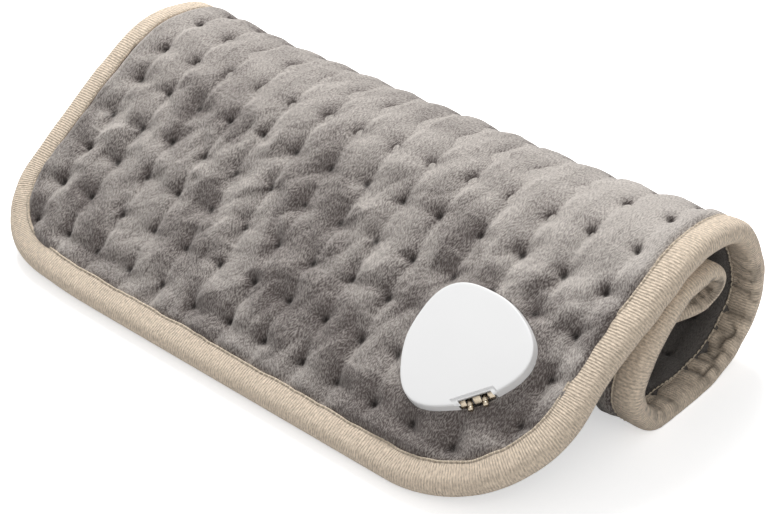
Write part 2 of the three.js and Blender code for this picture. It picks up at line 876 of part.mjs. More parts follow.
function socketFrame() {
  const { tilt } = lineAt(socketAlong);
  const turn = new THREE.Euler(tilt, 0, socketTurn * degree, 'XYZ');
  const place = onRoll(socketAcross, socketAlong, 0);
  return new THREE.Matrix4().makeRotationFromEuler(turn).setPosition(place);
}

// The assembly

function piece(name, geometry, material, x = 0, y = 0, z = 0) {
  const mesh = new THREE.Mesh(geometry, material);
  mesh.name = name;
  mesh.position.set(x, y, z);
  return mesh;
}

const pad = new THREE.Group();
pad.name = 'heating_pad';
for (const [name, half] of Object.entries(halves)) {
  const onTable = name === 'roll';
  const front = onTable ? restedFlat(frontCover(half)) : seatedFrontCover();
  const binding = onTable ? restedFlat(edgeBinding(half)) : edgeBinding(half);
  pad.add(
    piece(`front_cover_${name}`, front, finishes.plush),
    piece(`back_cover_${name}`, backCover(half), finishes.innerPlush),
    piece(`edge_binding_${name}`, binding, finishes.binding),
    piece(`heater_carrier_${name}`, plainLayer(half, carrierTop, carrierBottom), finishes.carrier),
    piece(`back_wadding_${name}`, plainLayer(half, waddingTop, waddingBottom), finishes.wadding),
    piece(`heating_wire_${name}`, heatingWire(half), finishes.wire),
  );
}
pad.add(piece('wire_end_crimp', endCrimp(), finishes.metal));

const socket = new THREE.Group();
socket.name = 'socket';
socket.applyMatrix4(socketFrame());
const boardLow = baseFloor + clearance;
socket.add(
  piece('socket_cap', socketCap(), finishes.plastic),
  piece('socket_base', socketBase(), finishes.plastic),
  piece('clamp_plate', clampPlate(), finishes.insulator),
  piece('contact_block', contactBlock(), finishes.insulator),
  piece('terminal_board', block(boardBack, boardFront, boardHalfWidth, boardLow, boardLow + boardThickness),
    finishes.board),
  piece('thermal_fuse', thermalFuse(), finishes.steel),
);
for (const [name, side] of [['left', -1], ['right', 1]]) {
  socket.add(
    piece(`contact_pin_${name}`, contactPin(), finishes.metal, 0, side * pinSpacing / 2, pinHeight),
    piece(`contact_tab_${name}`, contactTab(), finishes.metal, 0, side * tabSpacing, 0),
    piece(`lead_${name}`, lead(side), finishes.lead),
  );
}
socket.add(piece('contact_tab_middle', contactTab(), finishes.metal));
capScrewPlaces.forEach(([x, y], i) => {
  const shape = screw(socketBottom + clearance / 2, capScrewTop);
  socket.add(piece(`cap_screw_${i + 1}`, shape, finishes.steel, x, y));
});
clampScrewPlaces.forEach(([x, y], i) => {
  const shape = screw(baseFloor + clearance + screwHeadHeight, clampTop + clearance);
  socket.add(piece(`clamp_screw_${i + 1}`, shape, finishes.steel, x, y));
});
pad.add(socket);

// The origin is under the middle of the rolled pad, on the surface that it lies on.
pad.updateMatrixWorld(true);
const bounds = new THREE.Box3().setFromObject(pad);
const middle = bounds.getCenter(new THREE.Vector3());
pad.position.set(-middle.x, -middle.y, -bounds.min.z);
pad.updateMatrixWorld(true);

export default pad;
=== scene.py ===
"""A quilted heating pad, loosely rolled up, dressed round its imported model.

Every soft layer is drawn flat first. A point of the flat pad is given in millimetres:
across (along X, zero in the middle), along (from the loose flap's front edge to the
rolled-in end) and out (towards the roll's outside from the middle layer).
"""

import math
from types import SimpleNamespace

import bpy
import numpy as np
from bpy.props import FloatProperty, FloatVectorProperty, IntProperty, PointerProperty
from bpy.types import Operator, Panel, PropertyGroup
from mathutils import Matrix, Vector


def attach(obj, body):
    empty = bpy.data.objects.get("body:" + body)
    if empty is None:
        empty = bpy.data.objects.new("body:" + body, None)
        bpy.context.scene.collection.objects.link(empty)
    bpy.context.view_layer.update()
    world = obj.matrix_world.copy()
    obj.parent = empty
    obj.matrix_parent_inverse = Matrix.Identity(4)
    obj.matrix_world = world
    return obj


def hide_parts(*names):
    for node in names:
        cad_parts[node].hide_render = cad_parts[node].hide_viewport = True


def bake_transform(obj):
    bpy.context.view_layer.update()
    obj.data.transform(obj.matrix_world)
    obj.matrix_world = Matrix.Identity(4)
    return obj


bl_info = {
    "name": "Rolled heating pad",
    "version": (1, 0, 0),
    "blender": (4, 5, 0),
    "location": "3D View > Sidebar > Heating pad",
    "description": "Builds the plush, binding, socket and stage of a rolled heating pad",
    "category": "Object",
}

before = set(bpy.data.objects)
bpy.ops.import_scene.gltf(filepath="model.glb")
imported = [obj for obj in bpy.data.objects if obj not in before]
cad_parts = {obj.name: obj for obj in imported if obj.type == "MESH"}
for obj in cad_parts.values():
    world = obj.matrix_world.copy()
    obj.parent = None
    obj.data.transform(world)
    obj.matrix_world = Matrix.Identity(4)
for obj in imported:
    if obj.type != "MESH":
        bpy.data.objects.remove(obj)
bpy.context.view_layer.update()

MM = 0.001

# The roll in section: legs of constant curvature from the flap's front edge inwards, each
# its share of the pad's length and the degrees that it turns upwards.
LEGS = (
    (0.06, 16), (0.015, -5), (0.125, 0), (0.075, -12), (0.07, -29), (0.025, -6),
    (0.03, -41), (0.055, -20), (0.035, -41), (0.04, -35), (0.045, -23), (0.06, -8),
    (0.03, -42), (0.03, -19), (0.04, -59), (0.035, -18), (0.03, -9), (0.03, -34),
    (0.02, 2), (0.065, -168), (0.085, 16),
)
FRONT_TILT = 22
FRONT_PLACE = (-77.76, 4.46)
LINE_STEP = 0.25
LINE_SOFTNESS = 2.5

# Where each soft layer's flap part ends, on a row of tufts behind the crease.
SEAM_ROW = 7

# Lengths from here on are in millimetres of the flat pad. A pair of places is a stretch
# over which something comes, or goes where its name ends in ENDS.

# How the pad departs from an even roll: how far both ends stand up on top, how far the right
# one bulges forwards at the foot, and how the front tufts are pulled right.
FLARE = 2.7
FLARE_BEGINS, FLARE_ENDS = (95, 130), (235, 268)
FLARE_OUTWARDS = (78, 148)
FOOT_BULGE = 2.4
FOOT_BEGINS, FOOT_ENDS = (249, 264), (276, 298)
FOOT_OUTWARDS = (70, 140)
FRONT_PULL = 3.2
PULL_REACH = 48
PULL_MIDDLE, PULL_BREADTH = 10, 75

# The rolled-in end is pressed thinner, by this share.
PRESSED_SHARE = 0.26
PRESSED_BEGINS = (295, 345)

# Where the plush lies calmly, later on the right, and where it is on the roll's very top.
CALM_BEGINS, CALM_ENDS = (84, 128), (235, 262)
CALM_LATE = 7
LATE_OUTWARDS = (60, 130)
TOP_BEGINS = (150, 182)

# Heights over the middle layer: the deepest plush, its plain inside, the plush at the tape,
# under the socket and at the socket's wall.
LOWEST_PLUSH = 1.35
INSIDE_PLUSH = 1.15
TAPED_PLUSH = 2.6
SEATED_PLUSH = 2.2
HUG_HEIGHT = 5.5

# How far above the table every point stays, in metres.
TABLE_GAP = {"plush": 0.0002, "tape": 0.0001, "stitches": 0.0004}

# Where the plush rises from the tape, beside its inner edge, and where the pressed end is
# thick again, from the pad's edge.
PLUSH_RISES = (-1.2, 3.2)
THICK_AGAIN = (12, 45)

# The nap's tone, which holds painted shade and painted light: the way across and along in which
# slopes get painted light, and the other way painted shade, the steepest slope that counts, its
# middle tone, and how much painted shade darkens the outside where it goes into the curl.
SLOPE_LIGHT_ACROSS, SLOPE_LIGHT_ALONG = 0.69, -0.72
SLOPE_LIGHT_STEEPEST = 0.8
NAP_LEVEL = 0.43
CURL_PAINTED_SHADE = 0.34
CURL_SHADE_BEGINS = (268, 300)

# The covers: side of the middle layer, and steps of the mesh in the flap's part and across,
# and in the roll's part.
COVERS = {"front": (1, 0.8, 0.95), "back": (-1, 1.3, 1.3)}

# Where the covers' edges lie under the tape, and those of the layers between them, how many
# rows and columns the layers have, and the heights that each lies between.
COVER_INSET = 6.0
LAYER_INSET = 6.5
LAYER_ROWS = {"flap": 40, "roll": 110}
LAYER_COLUMNS = 25
CARRIER_HEIGHTS = (-0.2, 0.05)
WADDING_HEIGHTS = (-1.25, -0.5)

# What chance may do to the tufts: how far one strays from the lattice and a crease from
# the straight way between two, and the least and most that each pulls and gathers.
TUFT_STRAY = 0.45
CREASE_BOW = 0.9
PULL_RANGE = (0.3, 1.3)
GATHER_RANGE = (0.6, 1.3)
TUFT_SEED, FRONT_SEED, BACK_SEED = 5, 10, 20

# Folds of the tape inside a bend, and the bend, in radians per millimetre, that makes them
# their full depth.
PUCKER_PITCH = 7.8
PUCKER_DEPTH = 2.9
FULL_SQUEEZE = 0.014

# The step of the tape's mesh, and a seed for each way in which the tape is uneven.
TAPE_STEP = 0.9
WOBBLE_SEED, WAVER_SEED, SWELL_SEED, SHIFT_SEED = 31, 32, 33, 34
UNEVEN_SEED, SCALLOP_SEED, CRUSH_SEED = 35, 36, 37

# Stitches: inset of their line from the tape's inner edge, the gap between two, and for
# five places along each how deep it sinks and its share of the thread's radius.
STITCH_INSET = 0.15
STITCH_GAP = 0.35
STITCH_RADIUS = 0.33
STITCH_DIP = 0.3
STITCH_SINK = np.array([-0.75, -0.12, 0.0, -0.12, -0.75]) * 0.55
STITCH_SHARES = (0.45, 0.95, 1.0, 0.95, 0.45)
STITCH_SIDES = 6

# The heating wire: how far its runs reach from the middle, how far the first few reach on
# the socket's side, and its height and radius.
WIRE_REACH = 118
WIRE_SHORT_REACH = 55
WIRE_SHORT_RUNS = 3
WIRE_HEIGHT = 0.6
WIRE_RADIUS = 0.35

# The socket: the way that it is longest, from its mouth; where the mouth's slant begins,
# behind its edge; how far inwards the shell's faces are drawn; the notch's floor; how far
# the cuts reach past the shell; and the angle over which its edges are sharp.
WIDEST = math.radians(69)
SLANT_BEGINS = 4.1
SHELL_INWARDS = -22
NOTCH_FLOOR = 2.2
CUT_REACH = 40
SHARP_SHELL = math.radians(38)

# The contacts: how far the pins stand out and sit aside, and each flat contact's place
# aside and half width.
PIN_REACH = 1.3
PINS_ASIDE = 0.9
TABS = {"left": (-4.6, 1.25), "middle": (0.9, 1.45), "right": (6.3, 1.2)}

# The plush as a finish: how far its hairs swirl aside, how fine the hairs and clumps of hair are
# each way, what the nap's tone with its painted shade and light, the hairs and the clumps add to
# its tone, how dark the painted shade in a tuft's pinhole is, and the shares of the outer plush's
# two colours that the inner plush has, a darker copy that is painted shade inside the roll.
SWIRL_REACH = 0.012
HAIRS_STRETCH, CLUMPS_STRETCH = (940, 300, 1), (330, 210, 1)
NAP_AND_LIGHT_SHARE, NAP_AND_LIGHT_OFFSET = 0.8, -0.23
HAIRS_SHARE, CLUMPS_SHARE = 0.52, 0.06
PINHOLE_SHADE_COVER, PINHOLE_SHADE_SHARE = 0.92, 0.16
SHADED_INNER_DARK, SHADED_INNER_LIGHT = 0.26, 0.24

# The tape as a finish: what its ribs, yarn and patches add to its tone, the shares of its colour
# in the ribs' hollows, as painted shade, and on their crests, as painted light, and how dark the
# painted shade along its seam and in its folds is.
RIB_SHARE, YARN_SHARE, PATCH_SHARE = 0.32, 0.56, 0.26
HOLLOW_SHADE, CREST_SHADE = 0.52, 1.2
SEAM_SHADE_COVER, FOLD_SHADE_COVER, SEAM_AND_FOLD_SHADE = 0.55, 0.98, 0.18

# Colours of what is small or hidden.
THREAD, THREAD_DARK, THREAD_LIGHT = (0.62, 0.53, 0.41), (0.47, 0.39, 0.29), (0.72, 0.63, 0.5)
CARRIER, WADDING = (0.70, 0.68, 0.62), (0.80, 0.79, 0.76)
WIRE_RED, LEAD_GREY = (0.42, 0.05, 0.035), (0.5, 0.5, 0.5)
INSULATOR, BOARD_GREEN = (0.03, 0.03, 0.032), (0.03, 0.12, 0.06)
STEEL, BRASS = (0.6, 0.6, 0.61), (0.6, 0.5, 0.36)

# The stage, in metres: the lamps' places and sizes, and the camera's place and directions.
FLOOR_REACH = 6
KEY_PLACE, KEY_SIZE = (-0.62, 0.55, 1.15), 0.7
FILL_PLACE, FILL_SIZE = (0.9, -0.7, 0.9), 1.1
CAMERA_PLACE = (0.420345, -0.41540, 0.41963)
CAMERA_RIGHT = (0.73825, 0.67367, -0.03399)
CAMERA_DOWN = (0.35832, -0.43436, -0.82640)
CAMERA_AHEAD = (-0.57149, 0.59791, -0.56205)


# Sizes and colours that a user would change

def length_of(name, description, default):
    """A length that a user would change."""
    return FloatProperty(name=name, description=description, default=default, unit="LENGTH")


def colour_of(name, description, default):
    """A colour that a user would change."""
    return FloatVectorProperty(name=name, description=description, default=default,
                               subtype="COLOR", min=0, max=1)


class PadSizes(PropertyGroup):
    """The flat pad and its quilting."""
    width: length_of("Width", "Width of the flat pad", 0.300)
    length: length_of("Length", "Length of the flat pad", 0.400)
    corner: length_of("Corner radius", "Radius of the rounded corners", 0.058)
    front_left_corner: length_of("Front left radius",
                                 "Radius of the sharper corner at the front left", 0.044)
    crest: length_of("Crest", "Height of a pillow above the middle layer", 0.0050)
    columns: IntProperty(name="Columns", description="Tufts across the pad", default=14)
    rows: IntProperty(name="Rows", description="Tufts along the pad", default=20)
    column_pitch: length_of("Column pitch", "Distance between tufts across the pad", 0.0195)
    row_pitch: length_of("Row pitch", "Distance between tufts along the pad", 0.0187)
    left_margin: length_of("Left margin", "First column of tufts from the left edge", 0.0258)
    front_margin: length_of("Front margin", "First row of tufts from the front edge", 0.0214)
    # The plush's tone runs between these two colours, for the nap's patches and also for painted
    # shade and painted light.
    plush: colour_of("Plush", "Colour of the plush", (0.112, 0.0925, 0.087))
    plush_light: colour_of("Plush tips", "Colour of brushed-up plush", (0.63, 0.58, 0.537))


class BindingSizes(PropertyGroup):
    """The tape folded round the edge."""
    width: length_of("Width", "Visible width of the tape", 0.0112)
    half_height: length_of("Half height", "Half the height of the folded edge", 0.0046)
    rib_pitch: length_of("Rib pitch", "Distance between the tape's woven ribs", 0.00115)
    stitch: length_of("Stitch length", "Length of one stitch", 0.0027)
    colour: colour_of("Tape", "Colour of the tape", (0.79, 0.66, 0.522))


class SocketSizes(PropertyGroup):
    """The plug-in socket on the front cover."""
    across: length_of("Across", "Place of the socket across the pad", 0.0950)
    along: length_of("Along", "Place of the socket along the pad", 0.0545)
    turn: FloatProperty(
        name="Turn", description="Direction that the mouth faces, from across",
        default=math.radians(-45.5), subtype="ANGLE")
    radius: length_of("Radius", "Mean radius of the rounded triangle", 0.0252)
    corner_swell: length_of("Corner swell", "How far the corners stand out of a round", 0.0019)
    side_swell: length_of("Side swell", "How far the sides' middles are filled out", 0.00037)
    stretch: length_of("Stretch", "How much longer the outline is one way than the other", 0.0005)
    top: length_of("Top", "Height of the cap above the pad's middle layer", 0.0090)
    mouth_floor: length_of("Mouth floor", "Height of the mouth's floor", 0.0041)
    mouth_top: length_of("Mouth top", "Height of the mouth's ceiling", 0.0077)
    mouth_half_width: length_of("Mouth half width", "Half the mouth's width", 0.0072)
    mouth_depth: length_of("Mouth depth", "How far the mouth reaches in", 0.0079)
    lip_top: length_of("Lip top", "Height of the lowered lip over the mouth", 0.0085)
    lip_half_width: length_of("Lip half width", "Half the width of the lip", 0.0087)
    cheek_height: length_of("Cheek height", "How far the lip's two cheeks reach down", 0.0014)
    lip_depth: length_of("Lip depth", "How far back the lip is lowered", 0.0041)
    slant: FloatProperty(
        name="Slant", description="How far aside the mouth runs for the way it runs forwards",
        default=0.46)
    notch_half_width: length_of("Notch half width",
                                "Half the width of the notch over the pins", 0.0063)
    notch_depth: length_of("Notch depth", "How far the notch is cut back", 0.0029)
    pin_spacing: length_of("Pin spacing", "Distance between the two pins", 0.0058)
    pin_height: length_of("Pin height", "Height of the pins' centres", 0.0059)
    colour: colour_of("Shell", "Colour of the moulded shell", (0.90, 0.90, 0.90))
    contacts: colour_of("Contacts", "Colour of the plated contacts", (0.56, 0.48, 0.37))


class StageSizes(PropertyGroup):
    """The floor, lamps and camera."""
    bounce: FloatProperty(
        name="Bounce", description="How much light the floor throws back up", default=0.62)
    lift: FloatProperty(
        name="Lift", description="White added to the floor as the camera sees it",
        default=0.5)
    key: FloatProperty(
        name="Key light", description="Power of the large lamp behind the object",
        default=19.0, unit="POWER")
    fill: FloatProperty(
        name="Fill light", description="Power of the lamp beside the camera",
        default=3.6, unit="POWER")
    sky: FloatProperty(
        name="Sky", description="Strength of the even light all round", default=0.43)
    focal: FloatProperty(
        name="Focal length", description="Camera lens", default=81.33, unit="CAMERA")


# The roll's middle line and the flat pad

def middle_line():
    """Place and tilt of the pad's middle line at even steps, with its bends eased."""
    length = pad().length / MM
    ends = np.cumsum([0] + [share * length for share, _ in LEGS])
    tilts = np.radians(FRONT_TILT + np.cumsum([0] + [turn for _, turn in LEGS]))
    along = np.arange(0, length + LINE_STEP / 2, LINE_STEP)
    tilt = np.interp(along, ends, tilts)
    reach = int(3 * LINE_SOFTNESS / LINE_STEP)
    spread = np.exp(-0.5 * (np.arange(-reach, reach + 1) * LINE_STEP / LINE_SOFTNESS) ** 2)
    before = tilt[0] + (tilt[1] - tilt[0]) * np.arange(-reach, 0)
    after = tilt[-1] + (tilt[-1] - tilt[-2]) * np.arange(1, reach + 1)
    tilt = np.convolve(np.concatenate([before, tilt, after]), spread / spread.sum(), "valid")
    middle = (tilt[1:] + tilt[:-1]) / 2
    y = FRONT_PLACE[0] + np.concatenate([[0], np.cumsum(np.cos(middle))]) * LINE_STEP
    z = FRONT_PLACE[1] + np.concatenate([[0], np.cumsum(np.sin(middle))]) * LINE_STEP
    return along, y, z, tilt


def line_at(along):
    """The middle line's place and tilt at distances along the pad."""
    at, y, z, tilt = LINE
    return np.interp(along, at, y), np.interp(along, at, z), np.interp(along, at, tilt)


def on_roll(across, along, out):
    """Points of the rolled pad, in metres, from points of the flat pad in millimetres."""
    across, along, out = np.broadcast_arrays(across, along, out)
    y, z, tilt = line_at(along)
    on_top = smoothstep(along, *FLARE_BEGINS) * (1 - smoothstep(along, *FLARE_ENDS))
    out = out + FLARE * on_top * smoothstep(np.abs(across), *FLARE_OUTWARDS)
    foot = smoothstep(along, *FOOT_BEGINS) * (1 - smoothstep(along, *FOOT_ENDS))
    out = out + FOOT_BULGE * foot * smoothstep(across, *FOOT_OUTWARDS)
    points = np.stack([across, y - np.sin(tilt) * out, z + np.cos(tilt) * out], -1)
    return points * MM


def above_table(points, kind):
    """The same points, none lower than a hair above the table."""
    points[..., 2] = np.maximum(points[..., 2], TABLE_GAP[kind])
    return points


def pad():
    """The sizes of the flat pad."""
    return bpy.context.scene.pad_sizes


def binding():
    """The sizes of the tape."""
    return bpy.context.scene.binding_sizes


def socket():
    """The sizes of the socket."""
    return bpy.context.scene.socket_sizes


def corner_at(across, along):
    """The corner radius of the quarter that a point of the flat pad lies in."""
    sizes = pad()
    front_left = (across < 0) & (along < sizes.length / MM / 2)
    return np.where(front_left, sizes.front_left_corner, sizes.corner) / MM


def half_width(side, along, inset):
    """How far the pad reaches to its left (-1) or right (1) at a place along it."""
    sizes = pad()
    length, width = sizes.length / MM, sizes.width / MM
    corner = corner_at(side, along)
    from_end = np.minimum(along, length - along)
    into = np.maximum(corner - from_end, 0)
    room = np.maximum((corner - inset) ** 2 - into ** 2, 0)
    return width / 2 - corner + np.sqrt(room)


def inside_edge(across, along):
    """How far points of the flat pad lie inside its edge."""
    sizes = pad()
    length, width = sizes.length / MM, sizes.width / MM
    corner = corner_at(across, along)
    x = np.maximum(np.abs(across) - (width / 2 - corner), 0)
    y = np.maximum(np.abs(along - length / 2) - (length / 2 - corner), 0)
    return corner - np.hypot(x, y)


def smoothstep(value, low, high):
    """Eases from 0 at one value to 1 at another."""
    t = np.clip((value - low) / (high - low), 0, 1)
    return t * t * (3 - 2 * t)


def soft_noise(across, along, cell, seed):
    """Smooth random values from -1 to 1, one for each cell of the flat pad."""
    size = 128
    values = np.random.default_rng(seed).uniform(-1, 1, (size, size))
    u, v = across / cell + size, along / cell + size
    i, j = np.floor(u).astype(int), np.floor(v).astype(int)
    fu, fv = u - i, v - j
    fu, fv = fu * fu * (3 - 2 * fu), fv * fv * (3 - 2 * fv)
    i, j, right, up = i % size, j % size, (i + 1) % size, (j + 1) % size
    low = values[i, j] * (1 - fu) + values[right, j] * fu
    high = values[i, up] * (1 - fu) + values[right, up] * fu
    return low * (1 - fv) + high * fv


def thinned(along):
    """How thick the edge is there; the rolled-in end is pressed thinner."""
    return 1 - PRESSED_SHARE * smoothstep(along, *PRESSED_BEGINS)


def ridged(across, along, cell, seed):
    """Random values with sharp ridges between round hollows, evenly about zero."""
    return 0.7 - 2 * np.abs(soft_noise(across, along, cell, seed))


# The quilted plush

def tuft_places():
    """Where the tufts are, each a little off its place in the lattice."""
    sizes = pad()
    shift = np.random.default_rng(TUFT_SEED).normal(0, TUFT_STRAY, (sizes.columns, sizes.rows, 2))
    across = (-sizes.width / 2 + sizes.left_margin
              + sizes.column_pitch * np.arange(sizes.columns))[:, None] / MM
    along = (sizes.front_margin + sizes.row_pitch * np.arange(sizes.rows))[None, :] / MM
    pulled = (FRONT_PULL * np.exp(-(along / PULL_REACH) ** 2)
              * np.exp(-((across - PULL_MIDDLE) / PULL_BREADTH) ** 2))
    return across + pulled + shift[..., 0], along + shift[..., 1]


def tuft_chances(seed):
    """What chance gives each tuft, always drawn in this order: how its crease bows, how
    strongly it pulls, how its folds are turned and how much plush it gathers."""
    rng = np.random.default_rng(seed)
    shape = pad().columns, pad().rows
    bow = rng.uniform(-CREASE_BOW, CREASE_BOW, shape)
    pull = rng.uniform(*PULL_RANGE, shape)
    turn = rng.uniform(0, 2 * math.pi, (2, *shape))
    gather = rng.uniform(*GATHER_RANGE, shape)
    return SimpleNamespace(bow=bow, pull=pull, turn=turn, gather=gather)


def down_column(values, column, low, part):
    """A value that each tuft has, eased from one tuft of a column to the next."""
    return values[column, low] * (1 - part) + values[column, low + 1] * part


def tufts_near(across, along, bow):
    """For each point, the column and row of its nearest tuft and the place from it, the row
    of tufts before it, the part of the way to the next row, and how far aside it lies of
    the crease along the column."""
    sizes = pad()
    tuft_across, tuft_along = tuft_places()
    rows_on = (along - sizes.front_margin / MM) / (sizes.row_pitch / MM)
    row = np.clip(np.round(rows_on), 0, sizes.rows - 1).astype(int)
    low = np.clip(np.floor(rows_on), 0, sizes.rows - 2).astype(int)
    part = np.clip(rows_on - low, 0, 1)
    columns_on = (across + (sizes.width / 2 - sizes.left_margin) / MM) / (sizes.column_pitch / MM)
    column = np.clip(np.round(columns_on), 0, sizes.columns - 1).astype(int)
    for step in (-1, 1):
        other = np.clip(column + step, 0, sizes.columns - 1)
        gap, other_gap = (np.abs(across - tuft_across[c, row]) for c in (column, other))
        column = np.where(other_gap < gap, other, column)
    strays = bow[column, low] * np.sin(math.pi * part)
    aside = across - (down_column(tuft_across, column, low, part) + strays)
    dx, dy = across - tuft_across[column, row], along - tuft_along[column, row]
    return SimpleNamespace(column=column, row=row, low=low, part=part, aside=aside,
                           dx=dx, dy=dy, reach=np.hypot(dx, dy))


def calmness(across, along):
    """How calmly the plush lies: it crumples on the loose flap (0) and is calm over the top
    of the roll (1). Also where it is on the very top."""
    late = CALM_LATE * smoothstep(across, *LATE_OUTWARDS)
    stays = 1 - smoothstep(along, *CALM_ENDS)
    return smoothstep(along + late, *CALM_BEGINS) * stays, smoothstep(along, *TOP_BEGINS) * stays


def creases(tuft, pull, calm, over_top):
    """How deep the plush falls to the sharp crease along each column of tufts, which is
    steeper on one side and has a lip there, and to the shallow dip along each row."""
    pull = down_column(pull, tuft.column, tuft.low, tuft.part)
    pull = pull + (0.9 - pull) * 0.7 * calm
    off = np.abs(tuft.aside)
    depth = 0.8 + 0.3 * calm - 0.4 * over_top
    wide = np.where(tuft.aside < 0, 3.6 + 2.6 * calm, 2.3 - 0.9 * calm)
    crease = depth * pull * np.exp(-(off / wide) ** 1.1)
    clear_of_tufts = 1 - np.exp(-(tuft.reach / 6) ** 3)
    lip = 0.36 * pull * np.exp(-((tuft.aside - 2.9) / 1.5) ** 2) * clear_of_tufts
    half_pillow = pad().column_pitch / MM / 2
    dome = (0.8 - 0.5 * calm) * (1 - np.clip(off / half_pillow, 0, 1)) ** 2
    row_dip = 0.5 * np.exp(-(np.abs(tuft.dy) / 3.8) ** 1.4) * (1 - 0.8 * calm)
    return dome + crease - lip + row_dip


def gathers(tuft, chances, calm):
    """The cone that each tuft draws in, and the spokes of plush round it."""
    at = tuft.column, tuft.row
    angle = np.arctan2(tuft.dy, tuft.dx)
    reach = tuft.reach / (1 + 0.26 * np.cos(2 * angle - chances.turn[0][at]))
    steep = 0.85 * np.exp(-(reach / 2.8) ** 1.3)
    shallow = (1.0 - 0.55 * calm) * np.exp(-(reach / 6.6) ** 1.7)
    from_ring = tuft.reach / 3.4
    spokes = 0.45 * np.cos(3 * angle - chances.turn[1][at]) * from_ring * np.exp(1 - from_ring)
    return chances.gather[at] * (steep + shallow), spokes


def crumples(across, along, tuft, seed):
    """The loose flap's folds: sharp ridges two ways, broad swells, and folds from tuft to
    tuft."""
    height = 0.85 * ridged(across + 0.45 * along, 0.75 * along - 0.2 * across, 14, seed + 1)
    height -= 0.6 * ridged(across - 0.4 * along, 0.8 * along, 11, seed + 2)
    height += 0.7 * soft_noise(across, along, 22, seed + 7)
    height += 0.9 * soft_noise(across, along, 41, seed + 9)
    return height + 0.6 * pulled_folds(tuft, seed + 40)


def wrinkles(across, along, seed):
    """Fine wrinkles, in patches."""
    patches = smoothstep(soft_noise(across, along, 17, seed + 8), -0.1, 0.45)
    return 0.34 * ridged(across + 0.2 * along, 0.9 * along, 6, seed + 3) * patches


def quilt(across, along, side):
    """Height of the plush over the middle layer, the tone of its nap with painted shade and
    painted light, from 0 to 1, and how deep each place is in a tuft's pinhole, which the finish
    also paints as shade."""
    seed = FRONT_SEED if side > 0 else BACK_SEED
    chances = tuft_chances(seed)
    tuft = tufts_near(across, along, chances.bow)
    calm, over_top = calmness(across, along)
    loose = 1 - 0.8 * calm
    off_tuft = 1 - np.exp(-(tuft.reach / 3.0) ** 2)
    hole = np.exp(-(((tuft.dx + 0.4) / 1.25) ** 2 + ((tuft.dy - 0.5) / 1.55) ** 2) ** 1.4)
    cone, spokes = gathers(tuft, chances, calm)
    height = pad().crest / MM + 0.2 - creases(tuft, chances.pull, calm, over_top)
    height += loose * (crumples(across, along, tuft, seed) * off_tuft + spokes)
    height -= cone + 1.1 * hole

    # The plush goes down to the tape, never below its lowest, and is thin at the pressed end.
    edge = inside_edge(across, along)
    tape = binding().width / MM
    rise = smoothstep(edge - tape, *PLUSH_RISES) ** 0.6
    height = TAPED_PLUSH + (height - TAPED_PLUSH) * rise
    firmness = 3.2
    height = LOWEST_PLUSH + np.log1p(np.exp((height - LOWEST_PLUSH) * firmness)) / firmness
    thin = thinned(along) + (1 - thinned(along)) * smoothstep(edge, *THICK_AGAIN)
    height = LOWEST_PLUSH + (height - LOWEST_PLUSH) * thin
    if side > 0:
        height = seat_socket(across, along, height)
    nap_and_painted_light = nap_with_painted_light(across, along, height, tuft, seed)
    # Painted shade on the outside where it goes into the curl.
    if side > 0:
        nap_and_painted_light -= CURL_PAINTED_SHADE * smoothstep(along, *CURL_SHADE_BEGINS)
    wrinkled = height + loose * wrinkles(across, along, seed) * off_tuft * rise
    return wrinkled, np.clip(nap_and_painted_light, 0, 1), hole


def nap_with_painted_light(across, along, height, tuft, seed):
    """The plush's tone, with painted shade and light: painted shade where the plush leans to the
    front and painted light where it leans back, painted light on top of the roll and more on its
    right, painted shade low on the flap, patches where the nap is brushed differently, and painted
    shade, darkest above each tuft."""
    calm, over_top = calmness(across, along)
    rise_across = np.gradient(height, axis=1) / np.gradient(across, axis=1)
    rise_along = np.gradient(height, axis=0) / np.gradient(along, axis=0)
    # Painted shade on slopes that face one way and painted light on those that face the other.
    slope_light = SLOPE_LIGHT_ACROSS * rise_across + SLOPE_LIGHT_ALONG * rise_along
    slope_light = np.clip(slope_light, -SLOPE_LIGHT_STEEPEST, SLOPE_LIGHT_STEEPEST)
    slope_light = slope_light * np.where(slope_light < 0, 1 - 0.15 * calm - 0.5 * over_top,
                                 1 - np.exp(-(tuft.reach / 3.8) ** 2))
    patch = soft_noise(across + 0.35 * along, 0.7 * along, 14, seed + 4)
    sharp_patch = 2 * smoothstep(patch, -0.12, 0.12) - 1
    nap_and_painted_light = NAP_LEVEL + 0.1 * patch + 0.1 * sharp_patch * (1 - 0.8 * calm)
    nap_and_painted_light += 0.12 * soft_noise(across - 0.3 * along, 0.8 * along, 6, seed + 5)
    # Painted light and shade by slope, stronger on top of the roll and weaker at the flap's front,
    # and painted shade along that front.
    front = 1 - smoothstep(along, 35, 85)
    nap_and_painted_light += (0.6 + 0.24 * calm - 0.22 * front) * slope_light - 0.06 * front
    # Painted light over the roll's top, more on the right, and painted shade at the flap's front
    # right.
    nap_and_painted_light += (0.24 + 0.32 * smoothstep(across, 40, 120)) * calm
    nap_and_painted_light -= 0.1 * smoothstep(across, -40, 60) * (1 - smoothstep(along, 40, 90))
    # Painted shade above each tuft.
    return nap_and_painted_light - 0.36 * np.exp(-(np.hypot(tuft.dx + 1.0, tuft.dy - 1.8) / 3.8) ** 2)


